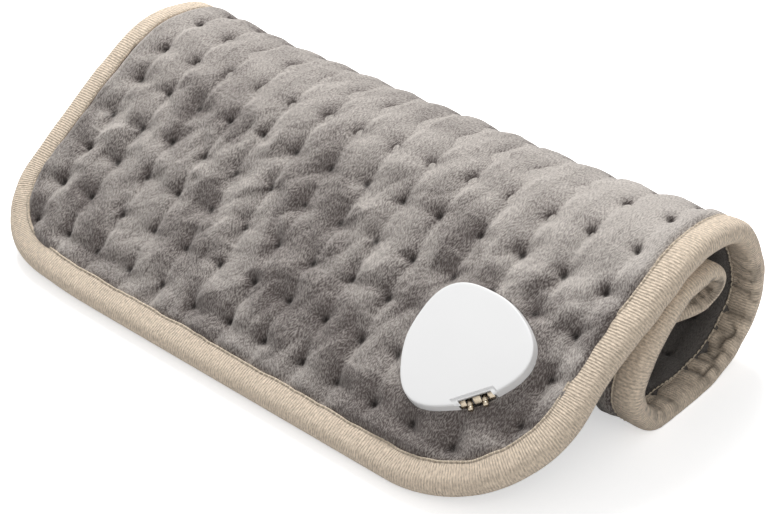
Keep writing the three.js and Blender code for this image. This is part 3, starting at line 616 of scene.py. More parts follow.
def pulled_folds(tuft, seed):
    """Straight folds that the pulled plush makes from tuft to tuft, one to a pillow: a
    valley up or down its diagonal, or a ridge, or none."""
    sizes = pad()
    aside = tuft.aside / (sizes.column_pitch / MM)
    right = aside >= 0
    column = np.clip(np.where(right, tuft.column, tuft.column - 1), 0, sizes.columns - 1)
    share = np.clip(np.where(right, aside, 1 + aside), 0, 1)
    kinds = np.random.default_rng(seed).integers(0, 5, (sizes.columns, sizes.rows))
    kind = kinds[column, tuft.low]
    pillow = math.hypot(sizes.column_pitch, sizes.row_pitch) / MM / 2
    rising, falling = (np.abs(share - tuft.part) * pillow, np.abs(share + tuft.part - 1) * pillow)
    fold = np.select([kind == 0, kind == 1, kind == 2, kind == 3],
                     [-np.exp(-(rising / 2.3) ** 1.1), -np.exp(-(falling / 2.3) ** 1.1),
                      0.9 * np.exp(-rising / 2.2), 0.9 * np.exp(-falling / 2.2)], 0.0)
    return fold * np.sqrt(np.sin(math.pi * tuft.part).clip(0) * np.sin(math.pi * share).clip(0))


def seat_socket(across, along, height):
    """The plush is pressed flat under the socket and hugs its wall."""
    x, y = to_socket(across, along)
    outside = np.hypot(x, y) - socket_radius(np.arctan2(y, x))
    hug = smoothstep(outside, -1.5, -0.1)
    near = 1 - smoothstep(outside, 0, 7)
    height = height + near * (HUG_HEIGHT - height) * 0.8
    return SEATED_PLUSH + (height - SEATED_PLUSH) * hug


def cover_places(fine, coarse):
    """Rows of a cover's flap part and roll part, with the seam between, and its columns as
    shares of the half width."""
    sizes = pad()
    seam, end = seam_place(), sizes.length / MM - COVER_INSET
    flap = np.linspace(COVER_INSET, seam, int((seam - COVER_INSET) / fine) + 1)
    roll = np.linspace(seam, end, int((end - seam) / coarse) + 1)
    return flap, roll, np.linspace(-1, 1, int(sizes.width / MM / fine) + 1)


def seam_place():
    """Where the flap's part meets the roll's, along the flat pad."""
    sizes = pad()
    return (sizes.front_margin + SEAM_ROW * sizes.row_pitch) / MM


def spread_across(rows, columns, inset):
    """Grids of places across and along the flat pad, within its rounded outline."""
    left, right = (half_width(way, rows[:, None], inset) for way in (-1, 1))
    across = columns[None, :] * np.where(columns[None, :] < 0, left, right)
    return across, np.repeat(rows[:, None], len(columns), 1)


def cover_mesh(name, rows, columns, side):
    """A closed cover: quilted outside, plain inside."""
    across, along = spread_across(rows, columns, COVER_INSET)
    height, nap_and_painted_light, hole = quilt(across, along, side)
    outside = above_table(on_roll(across, along, side * height), "plush")
    inside = on_roll(across, along, side * INSIDE_PLUSH)
    normals = np.cross(np.gradient(outside, axis=1), np.gradient(outside, axis=0)) * side
    normals /= np.maximum(np.linalg.norm(normals, axis=-1, keepdims=True), 1e-12)
    mesh = sheet_mesh(name, outside, inside, side > 0)
    rim = sheet_rim(nap_and_painted_light.shape)
    flat = np.stack([across + pad().width / MM / 2, along], -1) * MM / pad().length
    set_uv(mesh, np.concatenate([flat.reshape(-1, 2), flat[rim]]))
    # The nap's tone carries painted shade and light, and the pinhole's depth marks where the
    # finish paints shade.
    for kind, values in (("nap_and_painted_light", nap_and_painted_light), ("pinhole_shade", hole)):
        set_tone(mesh, kind, np.concatenate([values.ravel(), values[rim]]))
    mesh.normals_split_custom_set_from_vertices(
        np.concatenate([normals.reshape(-1, 3), -normals[rim]]).tolist())
    return mesh


def sheet_rim(shape):
    """Index of the vertices that a sheet's plain inside keeps: its rim only."""
    rows, columns = shape[:2]
    keep = np.zeros((rows, columns), bool)
    keep[[0, -1]] = True
    keep[:, [0, -1]] = True
    return keep


def sheet_mesh(name, outside, inside, up):
    """A closed sheet with every point outside and only the rim's points inside."""
    rows, columns = outside.shape[:2]
    top = np.arange(rows * columns).reshape(rows, columns)
    keep = sheet_rim(outside.shape)
    low = np.full((rows, columns), -1)
    low[keep] = rows * columns + np.arange(keep.sum())
    points = np.concatenate([outside.reshape(-1, 3), inside[keep]])
    quads = np.stack([top[:-1, :-1], top[:-1, 1:], top[1:, 1:], top[1:, :-1]], -1)
    faces = quads.reshape(-1, 4).tolist()
    for r in range(rows - 1):
        faces.append([low[r, 0], top[r, 0], top[r + 1, 0], low[r + 1, 0]])
        faces.append([top[r, -1], low[r, -1], low[r + 1, -1], top[r + 1, -1]])
        if 0 < r < rows - 2:
            faces.append([low[r, -1], low[r, 0], low[r + 1, 0], low[r + 1, -1]])
    for c in range(columns - 1):
        faces.append([low[0, c], low[0, c + 1], top[0, c + 1], top[0, c]])
        faces.append([top[-1, c], top[-1, c + 1], low[-1, c + 1], low[-1, c]])
    faces.append([*low[0, ::-1], low[1, 0], low[1, -1]])
    faces.append([*low[-1, :], low[-2, -1], low[-2, 0]])
    if not up:
        faces = [face[::-1] for face in faces]
    return new_mesh(name, points, faces)


def new_mesh(name, points, faces):
    """A smoothly shaded mesh from points in metres and faces."""
    mesh = bpy.data.meshes.new(name)
    mesh.from_pydata(np.asarray(points).tolist(), [], [list(map(int, f)) for f in faces])
    mesh.polygons.foreach_set("use_smooth", np.ones(len(mesh.polygons), bool))
    mesh.update()
    return mesh


def ring_faces(count, sides, start=0):
    """Faces of a closed skin over rings of vertices, its two ends filled."""
    index = start + np.arange(count * sides).reshape(count, sides)
    nxt = np.roll(index, -1, 1)
    faces = np.stack([index[:-1], nxt[:-1], nxt[1:], index[1:]], -1).reshape(-1, 4).tolist()
    return faces + [index[0, ::-1].tolist(), index[-1].tolist()]


def ring_mesh(name, rings):
    """A closed skin over rings of points."""
    return new_mesh(name, rings.reshape(-1, 3), ring_faces(*rings.shape[:2]))


def set_uv(mesh, places):
    """A UV map from one place for each vertex."""
    layer = mesh.uv_layers.new(name="Flat")
    corners = np.zeros(len(mesh.loops), np.int32)
    mesh.loops.foreach_get("vertex_index", corners)
    layer.data.foreach_set("uv", places[corners].astype(np.float32).ravel())


def set_tone(mesh, kind, values):
    """A number for each vertex, which a finish reads."""
    tone = mesh.attributes.new(kind, "FLOAT", "POINT")
    tone.data.foreach_set("value", values.astype(np.float32))


def new_object(mesh, finish):
    """An object named as its mesh, with its finish and material slot."""
    made = bpy.data.objects.new(mesh.name, mesh)
    bpy.context.scene.collection.objects.link(made)
    made.data.materials.append(finish)
    return made


def hold(piece, half):
    """The flap's part of a soft piece keeps its place in the world; the roll's part is attached to
    the roll.
    """
    if half == "flap":
        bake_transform(piece)
    else:
        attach(piece, "roll")


# The binding

def tape_section():
    """The folded tape in section: inset from the edge and height, from the turned-in upper
    edge round the rim to the lower one, and back along the inside."""
    sizes = binding()
    w, h = sizes.width / MM, sizes.half_height / MM
    outer = [(w + 0.1, h - 1.7), (w + 0.4, h - 1.1), (w + 0.3, h - 0.5), (w - 0.05, h - 0.25),
             (w - 0.45, h - 0.3), (w - 0.75, h - 0.5), (w - 1.1, h - 0.35),
             (w - 2.2, h - 0.12), (w - 4.4, h)]
    for angle in np.linspace(math.pi / 2, 0, 9):
        outer.append((5.2 * (1 - math.cos(angle) ** 0.9), h * math.sin(angle) ** 0.85))
    outer += [(inset, -height) for inset, height in reversed(outer[:-1])]
    inner = [(w - 0.4, -h + 1.8), (6, -h + 1.1), (2.2, -1.6), (1.4, 0), (2.2, 1.6),
             (6, h - 1.1), (w - 0.4, h - 1.8)]
    return np.array(outer + inner)


def edge_path(step):
    """The flat pad's edge all round, from the seam on its left side forward: first the
    flap's part, then the roll's. Each has the distances run, the places across and along,
    the way inwards, and the length of the whole edge."""
    sizes = pad()
    near, far = sizes.front_left_corner / MM, sizes.corner / MM
    length, half, seam = sizes.length / MM, sizes.width / MM / 2, seam_place()
    corners = ((near - half, near, near, 180), (half - far, far, far, 270),
               (half - far, length - far, far, 0), (far - half, length - far, far, 90))
    places = [(-half, seam, 1, 0)]
    for x, y, radius, begin in corners:
        for angle in np.radians(np.linspace(begin, begin + 90, 61)):
            cos, sin = math.cos(angle), math.sin(angle)
            places.append((x + radius * cos, y + radius * sin, -cos, -sin))
        if begin == 270:
            cut = len(places)
            places.append((half, seam, -1, 0))
    places.append((-half, seam, 1, 0))
    places = np.array(places)
    gaps = np.hypot(*np.diff(places[:, :2], axis=0).T)
    run = np.concatenate([[0], np.cumsum(gaps)])
    parts = []
    for low, high in ((0, run[cut]), (run[cut], run[-1])):
        at = np.linspace(low, high, int(round((high - low) / step)) + 1)
        across, along, nx, ny = (np.interp(at, run, values) for values in places.T)
        size = np.hypot(nx, ny)
        parts.append((at, across, along, nx / size, ny / size, run[-1]))
    return parts


def bend_of(along):
    """How sharply the pad bends, in radians per millimetre; below zero over its outside."""
    at, _, _, tilt = LINE
    return np.interp(along, at, np.gradient(tilt, at))


def run_noise(run, cell, seed):
    """Smooth random values from -1 to 1 along the tape."""
    return soft_noise(run, 0 * run, cell, seed)


def tape_folds(path, section, shaped):
    """Inside a bend the tape is too long, so it gathers into folds: how deep they dip, and how
    strongly each place is folded, from 0 to 1, which the finish also paints as shade."""
    run, _, along, nx, _, _ = path
    inset, height = section.T
    squeezed = np.clip(bend_of(along)[:, None] * np.sign(height)[None, :], 0, FULL_SQUEEZE)
    at_sides = nx ** 4 * smoothstep(along, 150, 200)
    squeezed = squeezed / FULL_SQUEEZE * at_sides[:, None]
    phase = run / PUCKER_PITCH + 0.7 * run_noise(run, 13, SHIFT_SEED)
    pucker = 1 - np.abs(np.sin(math.pi * phase)) ** 0.9
    pucker *= 0.65 + 0.35 * run_noise(run, 11, UNEVEN_SEED)
    across_run, up_girth = np.broadcast_arrays(run[:, None], 1.1 * inset[None, :])
    crush = smoothstep(ridged(across_run + 0.5 * up_girth, up_girth, 6.5, CRUSH_SEED), 0.25, 0.8)
    folded = squeezed * np.maximum(pucker[:, None], crush)
    return folded * PUCKER_DEPTH * (shaped > 0.2) * (0.4 + 0.6 * shaped), folded


def tape_mesh(name, path):
    """The binding along one part of the edge."""
    run, across, along, nx, ny, total = path
    section, width = tape_section(), binding().width / MM
    inset, height = section.T
    shaped = np.clip(inset / width, 0, 1)[None, :]
    scallop = 0.5 * run_noise(run, 7, SCALLOP_SEED) * smoothstep(along, 60, 110)
    at = inset[None, :] + tape_wobble(run)[:, None] * shaped
    at = at + scallop.clip(0)[:, None] * (1 - shaped) + tape_stray(across, along)[:, None]
    dip, folded = tape_folds(path, section, shaped)
    thick = thinned(along) * (1 + 0.04 * run_noise(run, 6, SWELL_SEED))
    rise = height[None, :] * thick[:, None]
    rise = np.sign(rise) * np.maximum(np.abs(rise) - dip, 0.0)
    points = on_roll(across[:, None] + nx[:, None] * at, along[:, None] + ny[:, None] * at, rise)
    mesh = ring_mesh(name, above_table(points, "tape"))
    girth = np.concatenate([[0], np.cumsum(np.hypot(np.diff(inset), np.diff(height)))])
    places = np.stack(np.broadcast_arrays(run[:, None] / total, girth[None, :] / 100), -1)
    set_uv(mesh, places.reshape(-1, 2))
    # Painted shade along the tape's inner edge, beside the stitches.
    set_tone(mesh, "seam", np.tile(np.exp(-((inset - width + 0.75) / 0.3) ** 2), len(run)))
    # Painted shade in the folds.
    set_tone(mesh, "fold", folded.ravel())
    return mesh


def tape_wobble(run):
    """How far the tape's inner edge strays along its run."""
    return 0.35 * run_noise(run, 9, WOBBLE_SEED) + 0.2 * run_noise(run, 4, WAVER_SEED)


def tape_stray(across, along):
    """How far inwards the whole tape strays from the pad's even outline."""
    waist = 2.9 * np.exp(-((along - 66) / 24) ** 2) * smoothstep(across, 0, 100)
    corner = 1.5 * np.exp(-(np.hypot(across + 112, along) / 19) ** 2)
    flank = 0.8 * np.exp(-((along - 110) / 36) ** 2) * smoothstep(-across, 0, 100)
    return waist + corner - flank


def stitch_mesh(name, path):
    """Short stitches sunk into the tape's inner edge, on both faces."""
    run, across, along, nx, ny, _ = path
    sizes = binding()
    length = sizes.stitch / MM
    inset = sizes.width / MM - STITCH_INSET + tape_wobble(run) + tape_stray(across, along)
    angle = 2 * math.pi * np.arange(STITCH_SIDES) / STITCH_SIDES
    points, faces = [], []
    for side in (1, -1):
        for k in range(int((run[-1] - run[0]) // length)):
            begin = run[0] + k * length + STITCH_GAP / 2
            at = np.linspace(begin, begin + length - STITCH_GAP, len(STITCH_SHARES))
            x, y, ux, uy, off = (np.interp(at, run, values)
                                 for values in (across, along, nx, ny, inset))
            high = side * (sizes.half_height / MM * thinned(y) - STITCH_DIP + STITCH_SINK)
            line = above_table(on_roll(x + ux * off, y + uy * off, high), "stitches")
            ahead = line[-1] - line[0]
            ahead /= np.linalg.norm(ahead)
            up = on_roll(x + ux * off, y + uy * off, high + 1)[2] - line[2]
            up = up / np.linalg.norm(up)
            ring = np.outer(np.cos(angle), np.cross(ahead, up)) + np.outer(np.sin(angle), up)
            faces += ring_faces(len(line), STITCH_SIDES, len(points))
            for place, share in zip(line, STITCH_SHARES):
                points.extend(place + ring * STITCH_RADIUS * share * MM)
    return new_mesh(name, points, faces)


# Layers inside the pad

def plain_sheet(name, rows, low, high):
    """A plain layer between two heights."""
    across, along = spread_across(rows, np.linspace(-1, 1, LAYER_COLUMNS), LAYER_INSET)
    return sheet_mesh(name, on_roll(across, along, high), on_roll(across, along, low), True)


def wire_places():
    """The heating wire's way over the flat pad: a run between each two rows of tufts, and a
    half turn from each run to the next."""
    sizes = pad()
    pitch = sizes.row_pitch / MM
    first = sizes.front_margin / MM + pitch / 2
    places = []
    for run in range(sizes.rows - 1):
        along = first + run * pitch
        right = WIRE_SHORT_REACH if run < WIRE_SHORT_RUNS else WIRE_REACH
        ends = (right, -WIRE_REACH) if run % 2 == 0 else (-WIRE_REACH, right)
        places += [(a, along) for a in np.linspace(*ends, 60)]
        if run < sizes.rows - 2:
            way = -1 if run % 2 == 0 else 1
            places += [(ends[1] + way * math.sin(t) * pitch / 2,
                        along + (1 - math.cos(t)) * pitch / 2)
                       for t in np.linspace(0, math.pi, 14)[1:-1]]
    return np.array(places)


def tube_mesh(name, line, radius, sides=8):
    """A closed tube along points in metres."""
    ahead = np.gradient(line, axis=0)
    ahead /= np.linalg.norm(ahead, axis=1)[:, None]
    side = np.array([0.0, 0.0, 1.0])
    points = []
    for point, way in zip(line, ahead):
        side = side - way * (side @ way)
        side /= np.linalg.norm(side)
        up = np.cross(way, side)
        for q in range(sides):
            angle = 2 * math.pi * q / sides
            points.append(point + (side * math.cos(angle) + up * math.sin(angle)) * radius)
    return ring_mesh(name, np.array(points).reshape(len(line), sides, 3))


# The socket

def to_socket(across, along):
    """Places in the socket's own frame, its X towards the mouth, in millimetres."""
    sizes = socket()
    dx, dy = across - sizes.across / MM, along - sizes.along / MM
    cos, sin = math.cos(sizes.turn), math.sin(sizes.turn)
    return dx * cos + dy * sin, dy * cos - dx * sin


def socket_radius(angle):
    """The rounded triangle's radius in a direction of the socket's own frame."""
    sizes = socket()
    return (sizes.radius - sizes.corner_swell * np.cos(3 * angle)
            + sizes.side_swell * np.cos(6 * angle)
            + sizes.stretch * np.cos(2 * (angle - WIDEST))) / MM


def mouth_edge():
    """How far the shell reaches at the mouth, in the socket's own frame."""
    return float(socket_radius(np.zeros(1))[0])


def lean(reach):
    """The mouth runs aslant: how far aside it is at a distance towards its front."""
    return socket().slant * (reach - mouth_edge() + SLANT_BEGINS)


def socket_frame():
    """From the socket's own frame, in metres, to the row frame."""
    sizes = socket()
    place = on_roll(sizes.across / MM, sizes.along / MM, 0.0)
    tilt = float(line_at(sizes.along / MM)[2])
    return (Matrix.Translation(Vector(place.tolist())) @ Matrix.Rotation(tilt, 4, "X")
            @ Matrix.Rotation(sizes.turn, 4, "Z"))


def outline_rings(rings, steps=160):
    """Rings of the rounded triangle, each from an offset and a height in millimetres."""
    angle = np.arange(steps) * 2 * math.pi / steps
    points = []
    for offset, height in rings:
        radius = socket_radius(angle) + offset
        points.append(np.stack([radius * np.cos(angle), radius * np.sin(angle),
                                np.full(steps, height)], -1))
    return np.array(points) * MM


def fillet(offset, height, radius, begin, end, steps):
    """Points of a rounded edge about a centre, between two angles in degrees."""
    return [(offset + radius * math.cos(math.radians(a)),
             height + radius * math.sin(math.radians(a)))
            for a in np.linspace(begin, end, steps)]


def cap_mesh():
    """The cap: from its ceiling down inside its wall, up its outside and over its top."""
    top, edge_round = socket().top / MM, 0.65
    rings = [(SHELL_INWARDS, 8.0), (-3.4, 8.0), (-2.6, 7.4), (-1.9, 5.1), (-0.25, 5.1), (0, 5.3)]
    rings += fillet(-1.05, top - edge_round, edge_round, 4, 86, 8)
    rings += [(-1.9, top + 0.02), (-4.5, top + 0.08), (-9, top + 0.15), (-15, top + 0.22),
              (-21.2, top + 0.25)]
    return ring_mesh("socket_cap_shell", outline_rings(rings))


def hood_mesh():
    """The lowered lip over the mouth: a roof between two cheeks that draw in forwards."""
    sizes = socket()
    edge = mouth_edge()
    roof, ceiling = sizes.lip_top / MM, sizes.mouth_top / MM
    foot = ceiling - sizes.cheek_height / MM
    half, mouth = sizes.lip_half_width / MM, sizes.mouth_half_width / MM
    stations = ((5.4, 0, 0), (2.2, 0, 0), (1.7, 0.05, 0.04), (1.4, 0.2, 0.2), (1.25, 0.45, 0.45))
    rings = []
    for behind, drawn_in, fall in stations:
        x, side, top = edge - behind, half - drawn_in, roof - fall
        right = [(side, foot), (side, top - 0.75), (side - 0.2, top - 0.25), (side - 0.7, top)]
        inner = [(mouth, foot), (mouth, ceiling - 0.5), (mouth - 0.4, ceiling - 0.12)]
        left = [(-y, z) for y, z in right]
        section = left + right[::-1] + inner + [(-y, z) for y, z in inner[::-1]]
        rings.append([(x, y + lean(x), z) for y, z in section])
    return ring_mesh("socket_hood", np.array(rings) * MM)


def base_mesh():
    """The base: from the middle of its floor out to its rim, down its wall and back."""
    rings = [(SHELL_INWARDS, 4.0), (-1.6, 4.0), (-1.5, 4.9), (-0.2, 4.9), (0.0, 4.75), (0.0, 3.2),
             (-0.25, 2.75), (-0.8, 2.6), (SHELL_INWARDS, 2.6)]
    return ring_mesh("socket_base_shell", outline_rings(rings))


def box_mesh(name, low, high):
    """A block that follows the mouth's slant."""
    (x0, y0, z0), (x1, y1, z1) = low, high
    points = [(x, y + lean(x), z) for x in (x0, x1) for y in (y0, y1) for z in (z0, z1)]
    faces = [(0, 1, 3, 2), (4, 6, 7, 5), (0, 4, 5, 1), (2, 3, 7, 6), (0, 2, 6, 4), (1, 5, 7, 3)]
    return new_mesh(name, np.array(points) * MM, faces)


def cut_with(piece, cutter):
    """Cuts one mesh object with another and drops the cutter."""
    step = piece.modifiers.new("cut", "BOOLEAN")
    step.operation, step.object, step.solver = "DIFFERENCE", cutter, "EXACT"
    graph = bpy.context.evaluated_depsgraph_get()
    made = bpy.data.meshes.new_from_object(piece.evaluated_get(graph))
    piece.modifiers.clear()
    piece.data = made
    bpy.data.objects.remove(cutter)


def lathe_mesh(name, profile, sides=36):
    """A turned piece about X, from points of reach and radius in millimetres."""
    angle = np.arange(sides) * 2 * math.pi / sides
    rings = [np.stack([np.full(sides, x), r * np.cos(angle), r * np.sin(angle)], -1)
             for x, r in profile]
    return ring_mesh(name, np.array(rings) * MM)


def pin_mesh(name):
    """A round pin: shaft, collar, a deep groove and a barrel tip, back to front."""
    tip = mouth_edge() + PIN_REACH
    profile = [(tip - 16.9, 1.0), (tip - 3.6, 1.0), (tip - 3.5, 1.06), (tip - 2.2, 1.06),
               (tip - 2.1, 1.0), (tip - 2.0, 0.88), (tip - 1.7, 0.88), (tip - 1.55, 1.0),
               (tip - 1.4, 1.12), (tip - 0.5, 1.12), (tip - 0.22, 1.0), (tip - 0.06, 0.78),
               (tip, 0.45), (tip, 0.12)]
    return lathe_mesh(name, profile)


def tab_mesh(name, half):
    """A flat contact: a faintly waved strip, rolled over and sloped down at its tip."""
    reach = mouth_edge() - 2.3
    back, turn, high, roll = reach - 4.6, reach - 1.3, 6.6, 1.25
    centre = [(x, high + 0.14 * math.sin((x - back) * 0.7)) for x in np.linspace(back, turn, 8)]
    centre += fillet(turn, high - roll, roll, 90, 34, 6)
    centre = np.array(centre + [(reach + 0.15, 5.4), (reach + 0.55, 4.8), (reach + 0.8, 4.3)])
    way = np.gradient(centre, axis=0)
    way /= np.linalg.norm(way, axis=1)[:, None]
    normal = np.stack([-way[:, 1], way[:, 0]], -1)
    thick, flank = 0.22, half - 0.06
    section = ((-flank, -thick), (-half, 0), (-flank, thick),
               (flank, thick), (half, 0), (flank, -thick))
    rings = [[(p[0] + n[0] * t, y, p[1] + n[1] * t) for y, t in section]
             for p, n in zip(centre, normal)]
    return ring_mesh(name, np.array(rings) * MM)


def fit_contact(made, node, place, sharp):
    """Puts a contact in its place on the flap; edges over an angle in degrees are sharp."""
    made.data.transform(place)
    made.data.set_sharp_from_angle(angle=math.radians(sharp))
    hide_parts(node)
    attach(made, "flap")


# Finishes

def material(name, colour, roughness, metallic=0.0):
    """A new material, with its node tree and its shader."""
    made = bpy.data.materials.new(name)
    made.use_nodes = True
    shader = made.node_tree.nodes["Principled BSDF"]
    shader.inputs["Base Color"].default_value = (*colour, 1)
    shader.inputs["Roughness"].default_value = roughness
    shader.inputs["Metallic"].default_value = metallic
    return made, made.node_tree, shader


def shade(colour, share):
    """A share of a colour, none of it over 1."""
    return tuple(min(1, c * share) for c in colour)


def add_node(tree, kind, settings=(), **inputs):
    """A new node with its settings and the values of its inputs."""
    node = tree.nodes.new(kind)
    for key, value in dict(settings).items():
        setattr(node, key, value)
    for key, value in inputs.items():
        node.inputs[key.replace("_", " ")].default_value = value
    return node


def feed(tree, value, place):
    """Links a socket to a node's input, or sets the input to a number or a colour."""
    if isinstance(value, bpy.types.NodeSocket):
        tree.links.new(value, place)
    elif isinstance(value, (int, float)):
        place.default_value = value
    else:
        place.default_value = (*value, 1)


def blend_colours(tree, factor, low, high):
    """A colour between two, by a factor."""
    node = add_node(tree, "ShaderNodeMix", {"data_type": "RGBA"})
    for value, place in ((factor, 0), (low, 6), (high, 7)):
        feed(tree, value, node.inputs[place])
    return node.outputs[2]


def maths(tree, operation, *values, clamp=False):
    """The result of one operation on sockets or numbers, in the order that it takes them."""
    node = add_node(tree, "ShaderNodeMath", {"operation": operation, "use_clamp": clamp})
    for value, place in zip(values, node.inputs):
        feed(tree, value, place)
    return node.outputs[0]


def spread(tree, value, low, high, to_low=0.0, to_high=1.0):
    """Eases a value between two to lie between two others."""
    node = add_node(tree, "ShaderNodeMapRange", {"interpolation_type": "SMOOTHSTEP"})
    for number, place in zip((value, low, high, to_low, to_high), node.inputs):
        feed(tree, number, place)
    return node.outputs[0]


def noise(tree, vector, scale, detail=2.0, roughness=0.5):
    """Soft random values over a place."""
    node = add_node(tree, "ShaderNodeTexNoise", Scale=scale, Detail=detail, Roughness=roughness)
    tree.links.new(vector, node.inputs["Vector"])
    return node.outputs["Fac"]


def flat_place(tree):
    """Place on the flat pad, or along and round the tape."""
    return add_node(tree, "ShaderNodeUVMap", {"uv_map": "Flat"}).outputs["UV"]


def object_place(tree):
    """Place on a piece, in metres."""
    return add_node(tree, "ShaderNodeTexCoord").outputs["Object"]


def vertex_tone(tree, kind):
    """A number that the mesh holds for each vertex."""
    return add_node(tree, "ShaderNodeAttribute", {"attribute_name": kind}).outputs["Fac"]


def seen_directly(tree):
    """1 as the camera, mirrors and glass see a thing, and 0 as it lights others."""
    path = tree.nodes.new("ShaderNodeLightPath")
    seen = maths(tree, "MAXIMUM", path.outputs["Is Camera Ray"], path.outputs["Is Glossy Ray"])
    return maths(tree, "MAXIMUM", seen, path.outputs["Is Transmission Ray"])


def bump(tree, shader, height, distance, strength):
    """Fine relief from a height, as deep as the distance in metres."""
    node = add_node(tree, "ShaderNodeBump", Strength=strength, Distance=distance)
    tree.links.new(height, node.inputs["Height"])
    tree.links.new(node.outputs["Normal"], shader.inputs["Normal"])


def stretched(tree, vector, size, turn=0.0):
    """A place scaled each way and turned, for noise that is longer one way."""
    node = add_node(tree, "ShaderNodeMapping", Scale=size, Rotation=(0, 0, turn))
    tree.links.new(vector, node.inputs["Vector"])
    return node.outputs["Vector"]


def plush_finish(name, dark, light):
    """Short plush: patches where the nap lies differently, with the painted shade and light that
    the nap's tone holds, flecked with fine hairs, and painted shade in the tufts' pinholes.
    """
    made, tree, shader = material(name, dark, 0.9)
    flat = flat_place(tree)
    swirl = add_node(tree, "ShaderNodeTexNoise", Scale=24.0, Detail=1.0)
    tree.links.new(flat, swirl.inputs["Vector"])
    pushed = add_node(tree, "ShaderNodeVectorMath", {"operation": "MULTIPLY_ADD"})
    tree.links.new(swirl.outputs["Color"], pushed.inputs[0])
    pushed.inputs[1].default_value = (SWIRL_REACH, SWIRL_REACH, 0)
    tree.links.new(flat, pushed.inputs[2])
    hairs = noise(tree, stretched(tree, pushed.outputs[0], HAIRS_STRETCH, 0.5), 1.0, 2.0, 0.6)
    clumps = noise(tree, stretched(tree, pushed.outputs[0], CLUMPS_STRETCH, 0.3), 1.0, 1.0)
    # The nap's tone holds painted shade and painted light besides its patches.
    tone = maths(tree, "MULTIPLY_ADD", vertex_tone(tree, "nap_and_painted_light"), NAP_AND_LIGHT_SHARE, NAP_AND_LIGHT_OFFSET)
    tone = maths(tree, "MULTIPLY_ADD", spread(tree, hairs, 0.38, 0.62), HAIRS_SHARE, tone)
    tone = maths(tree, "MULTIPLY_ADD", spread(tree, clumps, 0.3, 0.7), CLUMPS_SHARE, tone,
                 clamp=True)
    # Painted shade in each tuft's pinhole.
    painted_pinhole_shade = maths(tree, "MULTIPLY", vertex_tone(tree, "pinhole_shade"), PINHOLE_SHADE_COVER)
    colour = blend_colours(tree, tone, dark, light)
    colour = blend_colours(tree, painted_pinhole_shade, colour, shade(dark, PINHOLE_SHADE_SHARE))
    tree.links.new(colour, shader.inputs["Base Color"])
    shader.inputs["Sheen Weight"].default_value = 0.3
    shader.inputs["Sheen Roughness"].default_value = 0.4
    shader.inputs["Sheen Tint"].default_value = (0.97, 0.94, 0.9, 1)
    shader.inputs["Specular IOR Level"].default_value = 0.12
    bump(tree, shader, maths(tree, "MULTIPLY_ADD", clumps, 0.4, hairs), 0.0008, 0.9)
    return made


def tape_finish(name, colour):
    """Ribbed tape: woven ribs straight across with painted shade in their hollows and painted
    light on their crests, flecked yarn, and painted shade along the seam and in the folds.
    """
    made, tree, shader = material(name, colour, 0.85)
    flat = flat_place(tree)
    parts = add_node(tree, "ShaderNodeSeparateXYZ")
    tree.links.new(flat, parts.inputs[0])
    *_, total = edge_path(TAPE_STEP)[0]
    way = maths(tree, "MULTIPLY", parts.outputs[0], total * MM / binding().rib_pitch)
    uneven = noise(tree, stretched(tree, flat, (total / 4, 16, 1)), 1.0, 2.0)
    way = maths(tree, "MULTIPLY_ADD", uneven, 0.9, way)
    rib = maths(tree, "SINE", maths(tree, "MULTIPLY", way, 2 * math.pi))
    rib = maths(tree, "MULTIPLY_ADD", rib, 0.5, 0.5)
    yarn = noise(tree, stretched(tree, flat, (total * 1.5, 52, 1)), 1.0, 2.0, 0.7)
    patch = noise(tree, stretched(tree, flat, (total / 14, 30, 1)), 1.0, 2.0)
    tone = maths(tree, "MULTIPLY", rib, RIB_SHARE)
    tone = maths(tree, "MULTIPLY_ADD", spread(tree, yarn, 0.34, 0.66), YARN_SHARE, tone)
    tone = maths(tree, "MULTIPLY_ADD", patch, PATCH_SHARE, tone, clamp=True)
    # The ribs' part of this tone is painted shade in their hollows and painted light on their
    # crests; the yarn and patches are the tape's own flecks.
    woven = blend_colours(tree, tone, shade(colour, HOLLOW_SHADE), shade(colour, CREST_SHADE))
    # Painted shade along the seam and in the folds.
    seam = maths(tree, "MULTIPLY", vertex_tone(tree, "seam"), SEAM_SHADE_COVER)
    fold = maths(tree, "MULTIPLY", vertex_tone(tree, "fold"), FOLD_SHADE_COVER)
    seam_and_fold_shade = maths(tree, "MAXIMUM", seam, fold)
    tree.links.new(blend_colours(tree, seam_and_fold_shade, woven, shade(colour, SEAM_AND_FOLD_SHADE)),
                   shader.inputs["Base Color"])
    shader.inputs["Sheen Weight"].default_value = 0.15
    shader.inputs["Specular IOR Level"].default_value = 0.2
    bump(tree, shader, maths(tree, "MULTIPLY_ADD", yarn, 0.6, rib), 0.0003, 0.9)
    return made


def thread_finish():
    """Stitching thread with light and dark strands."""
    made, tree, shader = material("stitching_thread", THREAD, 0.75)
    strand = noise(tree, object_place(tree), 2600.0, 2.0)
    tree.links.new(blend_colours(tree, strand, THREAD_DARK, THREAD_LIGHT),
                   shader.inputs["Base Color"])
    bump(tree, shader, strand, 0.0001, 0.5)
    return made


def moulded_finish(name, colour, roughness):
    """Moulded plastic with a fine grain and slight changes of gloss."""
    made, tree, shader = material(name, colour, roughness)
    place = object_place(tree)
    broad = noise(tree, place, 38.0, 2.0)
    tree.links.new(spread(tree, broad, 0.3, 0.7, roughness - 0.05, roughness + 0.07),
                   shader.inputs["Roughness"])
    tree.links.new(blend_colours(tree, broad, shade(colour, 0.985), colour),
                   shader.inputs["Base Color"])
    bump(tree, shader, noise(tree, place, 900.0, 3.0), 0.00002, 0.25)
    return made


